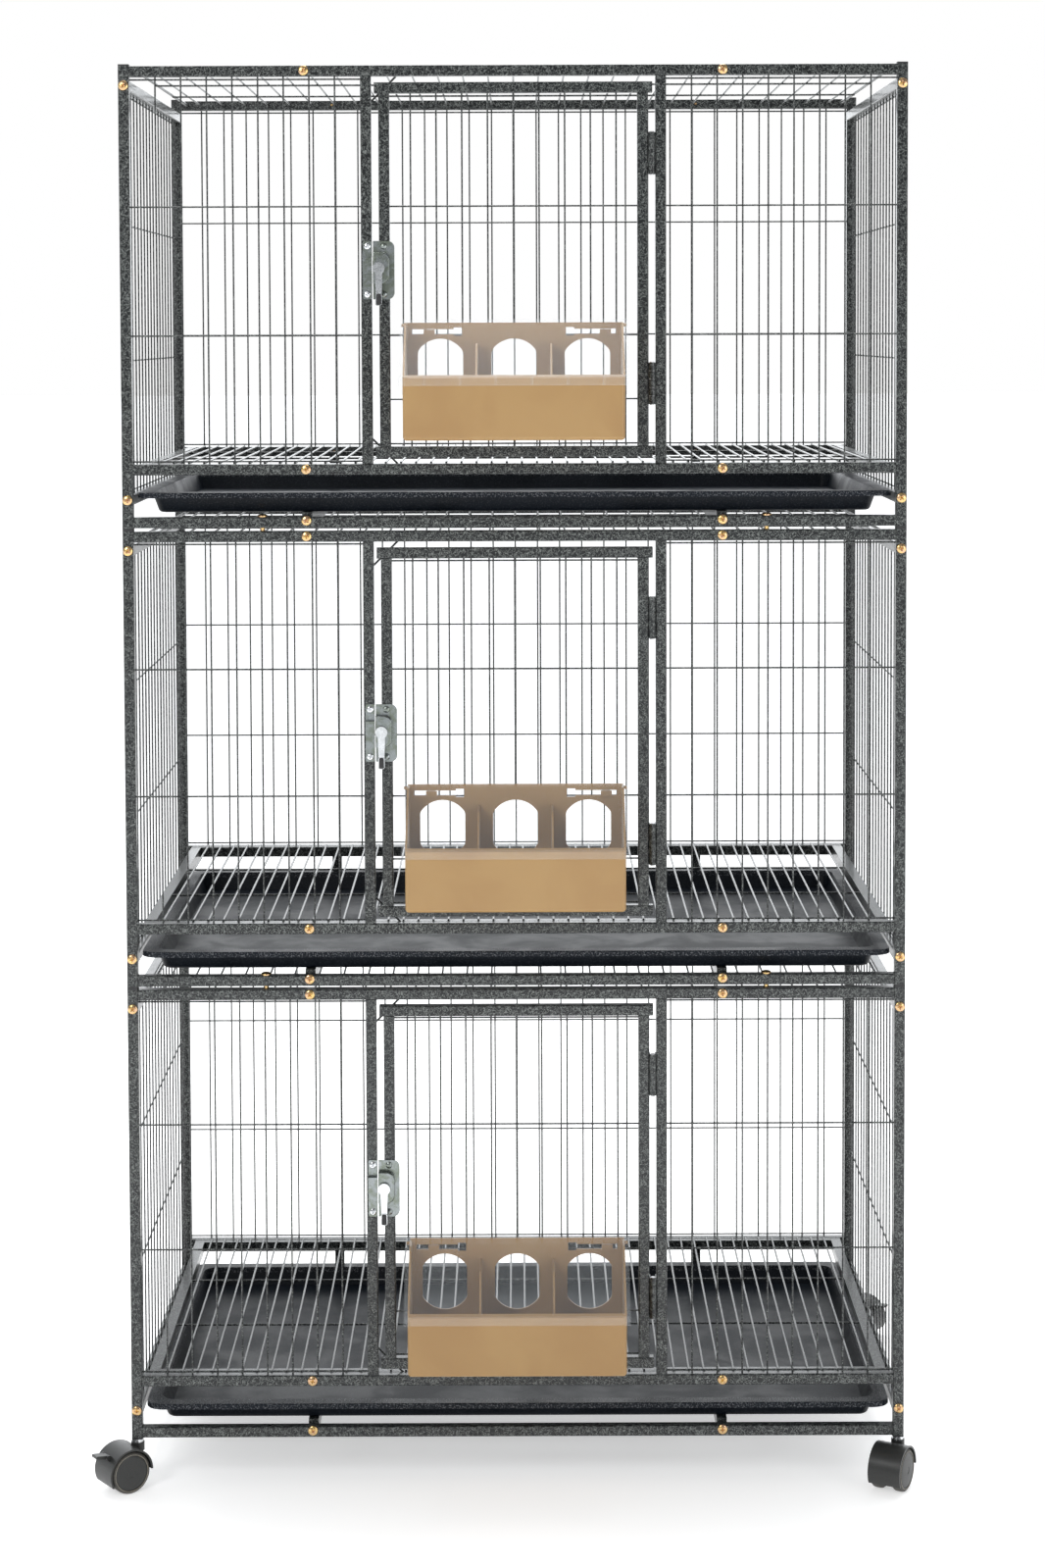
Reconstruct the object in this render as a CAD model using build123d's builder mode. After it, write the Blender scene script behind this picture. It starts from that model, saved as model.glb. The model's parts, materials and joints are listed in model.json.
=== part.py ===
"""Three-tier rolling small-animal cage: square-tube frames with welded wire, doors with outside
feeders, slide-out trays and twin-wheel casters. Millimetres, +Z up, front facing -Y.

Everything is drawn with the front plane at y = 0 and one tier standing on z = 0. The last
section stacks the tiers and puts the origin on the floor, under the middle of the whole cage.
"""

from build123d import *
from math import cos, radians, sin
import os

# ---- frame ----
WIDTH = 920.0
DEPTH = 545.0
TIER_HEIGHT = 539.0
TUBE = 12.7
TUBE_WALL = 1.0
TUBE_CORNER = 1.5
END_WALL = 2.0
MID_RAIL_Z = 62.0
DOORWAY = 331.0
SIDE_TOP_RAIL_Z = 510.0
SIDE_BOTTOM_RAIL_Z = 26.6

# ---- welded wire ----
WIRE = 2.0
PITCH = 30.0
CROSS_ZS = (225.0, 375.5)
SIDE_CROSS_ZS = (196.0, 355.0)
BORDER_GAP = 3.0
WELD = 0.4
STOP_WIRE = 2.4
STOP_LEG = 28.0

# ---- floor grille and roof panel ----
FLOOR_WIRE = 2.5
FLOOR_PITCH = 17.8
FLOOR_HALF_WIDTH = 440.6
ROOF_WIRE = 2.4
ROOF_Z = 533.0
ROOF_BAR = (4.0, 11.0)
ROOF_HALF_WIDTH = 440.0

# ---- tray and its runners ----
RUNNER_X = 244.0
RUNNER = (12.0, 17.0)
RUNNER_BOTTOM_Z = 0.3
TRAY_RIM_Z = 41.7
TRAY_DEPTH = 24.3
TRAY_HALF_WIDTH = 443.0
TRAY_FLANGE = 14.6
TRAY_LIP = 6.4
TRAY_WALL = 2.4
TRAY_CORNER = 20.0
TRAY_DRAFT = 20.0
TRAY_PROUD = 3.0

# ---- door ----
DOOR_SEAT = 0.3
DOOR_HALF_WIDTH = 162.0
DOOR_STILE_X = 150.75
DOOR_BOTTOM_Z = 82.4
DOOR_TOP_Z = 519.1
WINDOW_ZS = (150.0, 225.0)
WINDOW_HALF_WIDTH = 120.0

# ---- hinges ----
HINGE_X = 161.3
HINGE_Y = -1.0
HINGE_ZS = (168.0, 436.0)
HINGE_HEIGHT = 48.7
KNUCKLES = 5
KNUCKLE_R = 4.0
KNUCKLE_GAP = 0.3
LEAF = 1.2
PIN_R = 1.75
RUNNING_FIT = 0.05

# ---- latch ----
LATCH_Z = 301.0
LATCH_HEIGHT = 68.0
LATCH_X = (-164.0, -139.0)
LATCH_PLATE = 1.5
LATCH_CORNER = 8.0
LATCH_SCREW_IN = 12.5
LATCH_SCREW_UP = 6.0
HOUSING_X = (-164.0, -145.0)
HOUSING_Z = (-16.0, 21.0)
HOUSING_HEIGHT = 8.0
HOUSING_WALL = 1.5
HOUSING_CORNER = 9.0
LEVER_X = -157.0
LEVER_Z = 303.0
LEVER_LENGTH = 42.0
LEVER_HALF_WIDTHS = (4.5, 3.0)
LEVER_THICK = 2.6
LEVER_TIP = (7.4, 14.0)
LEVER_BOSS = (7.0, 4.0)
LEVER_SHAFT_R = 3.0
CRANK_R = 5.0
CRANK_PIN_R = 1.5
CRANK_ANGLE = 30.0
CRANK_THICK = 1.2
BOLT_SLOT = 3.4
BOLT_ABOUT_LEVER = (-2.5, 9.5)
KEEPER_X = (-176.0, -165.2)
KEEPER_WALL = 1.4

# ---- feeder ----
FEEDER_HALF_WIDTH = 127.0
FEEDER_BACK_Y = 4.6
FEEDER_FRONT_Y = -96.0
FEEDER_BOTTOM_Z = 105.0
FEEDER_FRONT_Z = 176.0
FEEDER_TOP_Z = 241.0
FEEDER_WALL = 2.4
FEEDER_FLAT = 28.0
FEEDER_CORNER = 4.5
DIVIDER_X = 43.0
DIVIDER_Z = 215.0
DIVIDER_THICK = 2.0
FEED_HOLE = (53.0, 67.0)
FEED_HOLE_RISE = 15.0
FEED_HOLE_CORNER = 8.0
FEED_HOLE_Z = 187.4
FEED_HOLE_PITCH = 86.0
SLOT_X = 90.0
SLOT = (59.0, 6.0)
SLOT_NOTCH = 10.0
SLOT_NOTCH_IN = 24.5
HOOK_XS = (-99.0, 107.0)
HOOK_WIDTH = 9.0
HOOK_THICK = 2.2
HOOK_REACH_Y = 12.0
HOOK_DROP = 11.0
HOOK_Z = 229.0
COVER_THICK = 2.0
COVER_HALF_WIDTH = 131.5
COVER_PIVOT = (-6.0, 236.5)
COVER_PIVOT_R = 2.0
COVER_ROOM = 4.5
COVER_RIBS = (6, 41.0)
COVER_WING = 14.0
COVER_LIP = 11.0

# ---- screws, stacking bolts, plugs ----
SCREW_HEAD = (11.5, 3.0)
SCREW_SHANK = (4.0, 18.0)
SMALL_HEAD = (8.0, 2.0)
SMALL_SHANK = (3.0, 6.0)
HOLE_PLAY = 0.2
POST_SCREW_ZS = (33.0, 516.35)
ROOF_SCREW_Z = 533.0
FLOOR_SCREW_Z = 68.4
RUNNER_SCREW_Z = 8.5
STACK_X = 296.0
STACK_BOLT = 6.0
STACK_HOLE = 6.4
STACK_HEAD = (12.0, 3.5)
STACK_NUT = (10.0, 5.0)
PLUG_FLANGE = 2.0
PLUG_LENGTH = 12.0
CASTER_PLUG_LENGTH = 28.0

# ---- casters ----
WHEEL_R = 25.0
WHEEL_YS = (7.0, 19.6)
AXLE_R = 3.0
STEM_OFFSET = 19.0
HOOD_RADII = (26.2, 28.4)
HOOD_HALF_WIDTH = 20.0
HOOD_BACK_Z = 12.0
WEB_HALF_WIDTH = 6.5
HOOD_TOP_Z = 54.0
BOSS_R = 8.0
BOSS_HEIGHT = 10.0
WHEEL_DISH = (7.0, 17.0, 3.0)
STEM_R = 4.0
STEM_DEPTH = 23.0
COLLAR = (7.0, 3.7)
COLLAR_GAP = 0.3
BRAKE_ANGLE = 140.0
BRAKE_R = 31.5
BRAKE_PIN_R = 1.5
BRAKE_EARS = (6.2, 8.2)
PEDAL_HALF_WIDTH = 5.8

# ---- worked out ----
MESH_Y = TUBE / 2
POST_X = (WIDTH - TUBE) / 2
DOOR_POST_X = (DOORWAY + TUBE) / 2
INNER_X = WIDTH / 2 - TUBE
MID_TOP_Z = MID_RAIL_Z + TUBE
TOP_RAIL_Z = TIER_HEIGHT - TUBE
BACK_Y = DEPTH - TUBE / 2
INNER_DEPTH = DEPTH - 2 * TUBE
DOOR_Y = TUBE / 2 - DOOR_SEAT
BASE_Z = HOOD_TOP_Z + COLLAR_GAP + COLLAR[1] + PLUG_FLANGE
TIER_STEP = TIER_HEIGHT + 2 * PLUG_FLANGE
TIERS = {"lower": BASE_Z, "middle": BASE_Z + TIER_STEP, "upper": BASE_Z + 2 * TIER_STEP}
CASTERS = {
    "front_left": (-POST_X, MESH_Y, 36.0),
    "front_right": (POST_X, MESH_Y, 62.0),
    "rear_left": (-POST_X, BACK_Y, 118.0),
    "rear_right": (POST_X, BACK_Y, 144.0),
}
BRAKED = ("front_left", "rear_right")


# ==== shared shapes ====


def square_tube(start, direction, length, end_wall=0.0, holes=()):
    """A hollow tube centred on the line that leaves start along direction. With an end wall it
    is closed at both ends. Each hole is (point, direction, diameter, depth)."""
    bore = TUBE - 2 * TUBE_WALL
    line = Plane(origin=start, z_dir=direction)
    with BuildPart() as tube:
        with BuildSketch(line):
            RectangleRounded(TUBE, TUBE, TUBE_CORNER)
        extrude(amount=length)
        with BuildSketch(line.offset(end_wall)):
            Rectangle(bore, bore)
        extrude(amount=length - 2 * end_wall, mode=Mode.SUBTRACT)
        for point, along, diameter, depth in holes:
            with BuildSketch(Plane(origin=point, z_dir=along)):
                Circle(diameter / 2)
            extrude(amount=depth, mode=Mode.SUBTRACT)
    return tube.part


def through_y(x, y, z):
    """A screw's clearance hole, right through a tube from its front face at y."""
    return ((x, y, z), (0, 1, 0), SCREW_SHANK[0] + HOLE_PLAY, TUBE)


def wire_mesh(across, up, low, high, left, right, diameter=WIRE):
    """Welded wire in the XZ plane: upright wires at each x of across, from low to high, and
    wires behind them at each z of up, from left to right, sunk a little where they cross."""
    sink = diameter - WELD
    uprights = [(x, 0, (low + high) / 2) for x in across]
    crosses = [((left + right) / 2, sink, z) for z in up]
    with BuildPart() as mesh:
        with Locations(*uprights):
            Cylinder(diameter / 2, high - low)
        with Locations(*crosses):
            Cylinder(diameter / 2, right - left, rotation=(0, 90, 0))
    return mesh.part


def spaced(count, pitch, middle=0.0):
    """Places for count wires, a pitch apart, about the middle."""
    return [middle + (i - (count - 1) / 2) * pitch for i in range(count)]


def domed_screw(head, shank):
    """A domed screw: its head stands on the XY plane and its shank goes down."""
    head_d, head_h = head
    shank_d, shank_l = shank
    with BuildPart() as screw:
        with BuildSketch(Plane.XZ):
            with BuildLine():
                Line((0, -shank_l), (shank_d / 2, -shank_l))
                Line((shank_d / 2, -shank_l), (shank_d / 2, 0))
                Line((shank_d / 2, 0), (head_d / 2, 0))
                Line((head_d / 2, 0), (head_d / 2, head_h * 0.25))
                TangentArc((0, head_h), (head_d / 2, head_h * 0.25), tangent=(1, 0))
                Line((0, head_h), (0, -shank_l))
            make_face()
        revolve(axis=Axis.Z)
    return screw.part


def group(*pieces):
    """One node made of separate solids that touch face to face."""
    return Compound([solid for piece in pieces for solid in piece.solids()])


# ==== welded panels of one tier ====


def stack_holes(y, z, depth):
    """The two vertical stacking holes of a rail whose upper face is at z."""
    return [((x, y, z), (0, 0, -1), STACK_HOLE, depth) for x in (-STACK_X, STACK_X)]


def end_frame(y):
    """Posts and the three rails that the front and the back of a tier share."""
    front = y - TUBE / 2
    left = (-INNER_X, y)
    span = 2 * INNER_X
    post_holes = [[through_y(x, front, z) for z in POST_SCREW_ZS] for x in (-POST_X, POST_X)]
    top_holes = stack_holes(y, TIER_HEIGHT, TUBE / 2)
    top_holes += [through_y(x, front, ROOF_SCREW_Z) for x in (-RUNNER_X, RUNNER_X)]
    mid_holes = [through_y(x, front, FLOOR_SCREW_Z) for x in (-RUNNER_X, RUNNER_X)]
    bottom_holes = stack_holes(y, TUBE, TUBE)
    bottom_holes += [through_y(x, front, RUNNER_SCREW_Z) for x in (-RUNNER_X, RUNNER_X)]
    up, along = (0, 0, 1), (1, 0, 0)
    return [
        square_tube((-POST_X, y, 0), up, TIER_HEIGHT, holes=post_holes[0]),
        square_tube((POST_X, y, 0), up, TIER_HEIGHT, holes=post_holes[1]),
        square_tube((*left, TUBE / 2), along, span, holes=bottom_holes),
        square_tube((*left, MID_RAIL_Z + TUBE / 2), along, span, holes=mid_holes),
        square_tube((*left, TOP_RAIL_Z + TUBE / 2), along, span, holes=top_holes),
    ]


def keeper_screw_zs():
    """Heights of the two small screws of a latch plate or a keeper."""
    reach = LATCH_HEIGHT / 2 - LATCH_SCREW_UP
    return [LATCH_Z - reach, LATCH_Z + reach]


def front_panel():
    """Front frame with a doorway, wire on both sides of it, and two stop wires that cross the
    doorway's latch-side corners behind the door and end at the rails."""
    height = TOP_RAIL_Z - MID_TOP_Z
    keeper_x = sum(KEEPER_X) / 2
    screw_hole = SMALL_SHANK[0] + HOLE_PLAY
    keeper_holes = [((keeper_x, 0, z), (0, 1, 0), screw_hole, TUBE / 2) for z in keeper_screw_zs()]
    door_posts = [
        square_tube((-DOOR_POST_X, MESH_Y, MID_TOP_Z), (0, 0, 1), height, holes=keeper_holes),
        square_tube((DOOR_POST_X, MESH_Y, MID_TOP_Z), (0, 0, 1), height),
    ]
    inner = DOOR_POST_X + TUBE / 2
    gaps = round((INNER_X - inner) / PITCH)
    xs = spaced(gaps - 1, (INNER_X - inner) / gaps, (INNER_X + inner) / 2)
    ups = [MID_TOP_Z + BORDER_GAP, *CROSS_ZS, TOP_RAIL_Z - BORDER_GAP]
    right_mesh = wire_mesh(xs, ups, MID_TOP_Z, TOP_RAIL_Z, inner, INNER_X)
    right_mesh = right_mesh.moved(Location((0, MESH_Y, 0)))
    left_mesh = right_mesh.mirror(Plane.YZ)
    edge = -DOORWAY / 2
    overlap = TUBE / 2
    stops = []
    for corner_z, slope, kept in ((MID_TOP_Z, -1, Keep.TOP), (TOP_RAIL_Z, 1, Keep.BOTTOM)):
        start = (edge - overlap, TUBE + STOP_WIRE / 2, corner_z - slope * (STOP_LEG + overlap))
        with BuildPart() as stop:
            with BuildSketch(Plane(origin=start, z_dir=(1, 0, slope))):
                Circle(STOP_WIRE / 2)
            extrude(amount=(STOP_LEG + 2 * overlap) * 2**0.5)
            split(bisect_by=Plane.XY.offset(corner_z), keep=kept)
        stops.append(stop.part)
    return group(*end_frame(MESH_Y), *door_posts, left_mesh, right_mesh, *stops)


def back_panel():
    """Back frame, wired right across, with two struts that stop the tray."""
    struts = [
        square_tube((x, BACK_Y, TUBE), (0, 0, 1), MID_RAIL_Z - TUBE) for x in (-RUNNER_X, RUNNER_X)
    ]
    xs = spaced(round(2 * INNER_X / PITCH) - 1, PITCH)
    ups = [MID_TOP_Z + BORDER_GAP, *CROSS_ZS, TOP_RAIL_Z - BORDER_GAP]
    mesh = wire_mesh(xs, ups, MID_TOP_Z, TOP_RAIL_Z, -INNER_X, INNER_X)
    return group(*end_frame(BACK_Y), *struts, mesh.moved(Location((0, BACK_Y, 0))))


def side_panel(x):
    """Two rails and their wire, between the front and back posts on one side."""
    rails = []
    for rail_z in (SIDE_BOTTOM_RAIL_Z, SIDE_TOP_RAIL_Z):
        z = rail_z + TUBE / 2
        holes = [through_y(x, TUBE, z), through_y(x, DEPTH - 2 * TUBE, z)]
        rails.append(square_tube((x, TUBE, z), (0, 1, 0), INNER_DEPTH, END_WALL, holes))
    low = SIDE_BOTTOM_RAIL_Z + TUBE
    ups = [low + BORDER_GAP, *SIDE_CROSS_ZS, SIDE_TOP_RAIL_Z - BORDER_GAP]
    ys = spaced(int(INNER_DEPTH / PITCH), PITCH)
    mesh = wire_mesh(ys, ups, low, SIDE_TOP_RAIL_Z, -INNER_DEPTH / 2, INNER_DEPTH / 2)
    turn = -90 if x > 0 else 90
    return group(*rails, mesh.moved(Location((x, DEPTH / 2, 0), (0, 0, turn))))


def roof_panel():
    """Wires from front to back between two flat bars that are screwed to the top rails."""
    bar_y, bar_z = ROOF_BAR
    reach = INNER_DEPTH / 2 - bar_y
    bar_size = (2 * ROOF_HALF_WIDTH, bar_y, bar_z)
    crosses = [(0, y, ROOF_Z - ROOF_WIRE + WELD) for y in (-INNER_DEPTH / 6, INNER_DEPTH / 6)]
    side_x = ROOF_HALF_WIDTH - 2.0
    with BuildPart() as roof:
        with Locations((0, reach + bar_y / 2, ROOF_Z), (0, -reach - bar_y / 2, ROOF_Z)):
            Box(*bar_size)
        for x in (-RUNNER_X, RUNNER_X):
            with BuildSketch(Plane.XZ.offset(-DEPTH / 2)):
                with Locations((x, ROOF_SCREW_Z)):
                    Circle((SCREW_SHANK[0] + HOLE_PLAY) / 2)
            extrude(amount=DEPTH, mode=Mode.SUBTRACT)
        with Locations(*[(x, 0, ROOF_Z) for x in spaced(round(2 * INNER_X / PITCH) - 1, PITCH)]):
            Cylinder(ROOF_WIRE / 2, 2 * reach, rotation=(90, 0, 0))
        with Locations((-side_x, 0, ROOF_Z), (side_x, 0, ROOF_Z)):
            Cylinder(2.0, 2 * reach, rotation=(90, 0, 0))
        with Locations(*crosses):
            Cylinder(ROOF_WIRE / 2, 2 * side_x, rotation=(0, 90, 0))
    return roof.part.moved(Location((0, DEPTH / 2, 0)))


def floor_grille():
    """A tube frame with close wires lying across its top, from front to back."""
    z = MID_RAIL_Z + TUBE / 2
    half_y = INNER_DEPTH / 2
    side_x = FLOOR_HALF_WIDTH - TUBE / 2
    inner_x = FLOOR_HALF_WIDTH - TUBE
    bore = TUBE - 2 * TUBE_WALL
    wire_z = MID_TOP_Z + FLOOR_WIRE / 2 - 0.25
    count = int(2 * inner_x / FLOOR_PITCH)
    ends = [(0, half_y - TUBE / 2, z), (0, TUBE / 2 - half_y, z)]
    sides = [(-side_x, 0, z), (side_x, 0, z)]
    crosses = [(0, y, wire_z - FLOOR_WIRE + WELD) for y in (-half_y / 3, half_y / 3)]
    with BuildPart() as grille:
        with Locations(*ends):
            Box(2 * FLOOR_HALF_WIDTH, TUBE, TUBE)
        with Locations(*sides):
            Box(TUBE, 2 * half_y - 2 * TUBE, TUBE)
        with Locations(*ends):
            Box(2 * FLOOR_HALF_WIDTH - 2 * END_WALL, bore, bore, mode=Mode.SUBTRACT)
        with Locations(*sides):
            Box(bore, 2 * half_y - 2 * TUBE, bore, mode=Mode.SUBTRACT)
        for x in (-RUNNER_X, RUNNER_X):
            with BuildSketch(Plane.XZ.offset(-half_y)):
                with Locations((x, FLOOR_SCREW_Z)):
                    Circle((SCREW_SHANK[0] + HOLE_PLAY) / 2)
            extrude(amount=2 * half_y, mode=Mode.SUBTRACT)
        with Locations(*[(x, 0, wire_z) for x in spaced(count, FLOOR_PITCH)]):
            Cylinder(FLOOR_WIRE / 2, 2 * half_y - 2.0, rotation=(90, 0, 0))
        with Locations(*crosses):
            Cylinder(FLOOR_WIRE / 2, 2 * inner_x, rotation=(0, 90, 0))
    return grille.part.moved(Location((0, DEPTH / 2, 0)))


# ==== tray ====


def tray():
    """A shallow moulded tray with drafted walls and a turned-down rim all round."""
    front, back = -TRAY_PROUD, DEPTH - TUBE - 1.0
    length = back - front
    width = 2 * TRAY_HALF_WIDTH
    body = (width - 2 * TRAY_FLANGE, length - 2 * TRAY_FLANGE)
    cavity = (body[0] - 2 * TRAY_WALL, body[1] - 2 * TRAY_WALL)
    top = Plane((0, 0, TRAY_RIM_Z), z_dir=(0, 0, -1))
    with BuildPart() as pan:
        with BuildSketch(top):
            RectangleRounded(*body, TRAY_CORNER)
        extrude(amount=TRAY_DEPTH, taper=TRAY_DRAFT)
        fillet(pan.faces().sort_by(Axis.Z)[0].edges(), radius=6.0)
        with BuildSketch(top):
            RectangleRounded(width, length, TRAY_CORNER)
        extrude(amount=TRAY_LIP)
        with BuildSketch(top.offset(TRAY_WALL)):
            RectangleRounded(width - 2 * TRAY_WALL, length - 2 * TRAY_WALL, TRAY_CORNER - TRAY_WALL)
            RectangleRounded(*body, TRAY_CORNER, mode=Mode.SUBTRACT)
        extrude(amount=TRAY_LIP, mode=Mode.SUBTRACT)
        with BuildSketch(top):
            RectangleRounded(*cavity, TRAY_CORNER - TRAY_WALL)
        extrude(amount=TRAY_DEPTH - TRAY_WALL, taper=TRAY_DRAFT, mode=Mode.SUBTRACT)
        rim = pan.faces().sort_by(Axis.Z)[-1]
        fillet(rim.outer_wire().edges(), radius=1.2)
    return pan.part.moved(Location((0, (front + back) / 2, 0)))


def tray_runners():
    """Two hollow runners that carry the tray from the bottom rails, closed at their ends."""
    width, height = RUNNER
    z = RUNNER_BOTTOM_Z + height / 2
    pieces = []
    for x in (-RUNNER_X, RUNNER_X):
        with BuildPart() as runner:
            with Locations((x, DEPTH / 2, z)):
                Box(width, INNER_DEPTH, height)
                Box(width - 2.4, INNER_DEPTH - 2 * END_WALL, height - 2.4, mode=Mode.SUBTRACT)
            with BuildSketch(Plane.XZ.offset(-DEPTH)):
                with Locations((x, RUNNER_SCREW_Z)):
                    Circle((SCREW_SHANK[0] + HOLE_PLAY) / 2)
            extrude(amount=DEPTH, mode=Mode.SUBTRACT)
        pieces.append(runner.part)
    return group(*pieces)


# ==== door and hinges ====


def door():
    """Door frame and wire. Seven inner wires stop short to leave the feed window."""
    low, high = DOOR_BOTTOM_Z + TUBE, DOOR_TOP_Z - TUBE
    inner = DOOR_STILE_X - TUBE / 2
    case_x = LATCH_X[1] - LATCH_SCREW_IN
    screw_hole = SMALL_SHANK[0] + HOLE_PLAY
    front = DOOR_Y - TUBE / 2
    holes = [((case_x, front, z), (0, 1, 0), screw_hole, TUBE / 2) for z in keeper_screw_zs()]
    tubes = [
        square_tube((-DOOR_STILE_X, DOOR_Y, low), (0, 0, 1), high - low, holes=holes),
        square_tube((DOOR_STILE_X, DOOR_Y, low), (0, 0, 1), high - low),
    ]
    for z in (low - TUBE / 2, high + TUBE / 2):
        start = (-DOOR_HALF_WIDTH, DOOR_Y, z)
        tubes.append(square_tube(start, (1, 0, 0), 2 * DOOR_HALF_WIDTH, END_WALL))
    xs = spaced(9, PITCH)
    place = Location((0, DOOR_Y, 0))
    foot, sill = WINDOW_ZS
    foot_top, sill_bottom = foot + WIRE, sill - WIRE
    lower = wire_mesh(xs, [low + BORDER_GAP, foot], low, foot_top, -inner, inner)
    uppers = [sill, CROSS_ZS[1], high - BORDER_GAP]
    upper = wire_mesh(xs, uppers, sill_bottom, high, -inner, inner)
    links = []
    for x in (-WINDOW_HALF_WIDTH, WINDOW_HALF_WIDTH):
        with BuildPart() as link:
            with Locations((x, 0, (foot_top + sill_bottom) / 2)):
                Cylinder(WIRE / 2, sill_bottom - foot_top)
        links.append(link.part.moved(place))
    return group(*tubes, lower.moved(place), upper.moved(place), *links)


def knuckle_spans(z):
    """The (low, high) of each knuckle of a hinge whose middle is at z."""
    step = (HINGE_HEIGHT + KNUCKLE_GAP) / KNUCKLES
    low = z - HINGE_HEIGHT / 2
    return [(low + i * step, low + (i + 1) * step - KNUCKLE_GAP) for i in range(KNUCKLES)]


def hinge_leaf(z, side, spans, bore_r):
    """One leaf: a plate on the tube's side face and its knuckles round the pin."""
    face_x = DOOR_STILE_X + TUBE / 2 if side < 0 else DOORWAY / 2
    plate_x = face_x - side * LEAF / 2
    notch_y = HINGE_Y + KNUCKLE_R + KNUCKLE_GAP
    back_y = TUBE - 1.5
    with BuildPart() as leaf:
        with Locations((plate_x, (notch_y + back_y) / 2, z)):
            Box(LEAF, back_y - notch_y, HINGE_HEIGHT)
        for low, high in spans:
            middle, height = (low + high) / 2, high - low
            with Locations((plate_x, (HINGE_Y + notch_y) / 2, middle)):
                Box(LEAF, notch_y - HINGE_Y, height)
            with Locations((HINGE_X, HINGE_Y, middle)):
                Cylinder(KNUCKLE_R, height)
        with Locations((HINGE_X, HINGE_Y, z)):
            Cylinder(bore_r, HINGE_HEIGHT, mode=Mode.SUBTRACT)
    return leaf.part


def door_hinge_leaves():
    return group(*[hinge_leaf(z, -1, knuckle_spans(z)[1::2], PIN_R + RUNNING_FIT) for z in HINGE_ZS])


def frame_hinge_leaves():
    return group(*[hinge_leaf(z, 1, knuckle_spans(z)[0::2], PIN_R) for z in HINGE_ZS])


def hinge_pins():
    """Pins with a low head at both ends, held by the frame leaf's knuckles."""
    head = 0.8
    pins = []
    for z in HINGE_ZS:
        with BuildPart() as pin:
            with Locations((HINGE_X, HINGE_Y, z)):
                Cylinder(PIN_R, HINGE_HEIGHT)
            for end in (-1, 1):
                with Locations((HINGE_X, HINGE_Y, z + end * (HINGE_HEIGHT + head) / 2)):
                    Cylinder(PIN_R + 0.9, head)
        pins.append(pin.part)
    return group(*pins)


# ==== latch ====

DOOR_FACE_Y = DOOR_Y - TUBE / 2
PLATE_FACE_Y = DOOR_FACE_Y - LATCH_PLATE
HOUSING_FACE_Y = PLATE_FACE_Y - HOUSING_HEIGHT
BOLT_YS = (PLATE_FACE_Y - 4.4, PLATE_FACE_Y - 0.2)
BOLT_ZS = (LEVER_Z + BOLT_ABOUT_LEVER[0], LEVER_Z + BOLT_ABOUT_LEVER[1])


def facing(x, y, z):
    """A plane at a point of the front, with its normal towards the viewer."""
    return Plane(origin=(x, y, z), x_dir=(1, 0, 0), z_dir=(0, -1, 0))


def latch_case():
    """Plate and hollow housing on the door stile, with its two screws."""
    plate_x, plate_w = sum(LATCH_X) / 2, LATCH_X[1] - LATCH_X[0]
    box_x, box_w = sum(HOUSING_X) / 2, HOUSING_X[1] - HOUSING_X[0]
    box_z, box_h = LATCH_Z + sum(HOUSING_Z) / 2, HOUSING_Z[1] - HOUSING_Z[0]
    screw_x = LATCH_X[1] - LATCH_SCREW_IN
    with BuildPart() as case:
        with BuildSketch(facing(plate_x, DOOR_FACE_Y, LATCH_Z)):
            Rectangle(plate_w, LATCH_HEIGHT)
        extrude(amount=LATCH_PLATE)
        right = case.edges().filter_by(Axis.Y).group_by(Axis.X)[-1]
        fillet(right, radius=LATCH_CORNER)
        with BuildSketch(facing(box_x, PLATE_FACE_Y, box_z)):
            Rectangle(box_w, box_h)
        extrude(amount=HOUSING_HEIGHT)
        corners = case.edges().filter_by(Axis.Y).filter_by(
            lambda edge: edge.center().Y < PLATE_FACE_Y and edge.center().X > box_x
        )
        fillet(corners, radius=HOUSING_CORNER)
        fillet(case.faces().sort_by(Axis.Y)[0].edges(), radius=1.2)
        with BuildSketch(facing(box_x, DOOR_FACE_Y, box_z)):
            RectangleRounded(box_w - 2 * HOUSING_WALL, box_h - 2 * HOUSING_WALL, 6.0)
        extrude(amount=LATCH_PLATE + HOUSING_HEIGHT - HOUSING_WALL, mode=Mode.SUBTRACT)
        bolt_y, bolt_z = sum(BOLT_YS) / 2, sum(BOLT_ZS) / 2
        with Locations((HOUSING_X[0], bolt_y, bolt_z)):
            Box(8, BOLT_YS[1] - BOLT_YS[0] + 0.4, BOLT_ZS[1] - BOLT_ZS[0] + 0.4, mode=Mode.SUBTRACT)
        with BuildSketch(facing(LEVER_X, HOUSING_FACE_Y + HOUSING_WALL, LEVER_Z)):
            Circle(LEVER_SHAFT_R + RUNNING_FIT)
        extrude(amount=HOUSING_WALL * 2, mode=Mode.SUBTRACT)
        for z in keeper_screw_zs():
            with BuildSketch(facing(screw_x, DOOR_FACE_Y, z)):
                Circle((SMALL_SHANK[0] + HOLE_PLAY) / 2)
            extrude(amount=LATCH_PLATE, mode=Mode.SUBTRACT)
    screw = domed_screw(SMALL_HEAD, SMALL_SHANK)
    screws = [screw.moved(Location((screw_x, PLATE_FACE_Y, z), (90, 0, 0))) for z in keeper_screw_zs()]
    return group(case.part, *screws)


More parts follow.
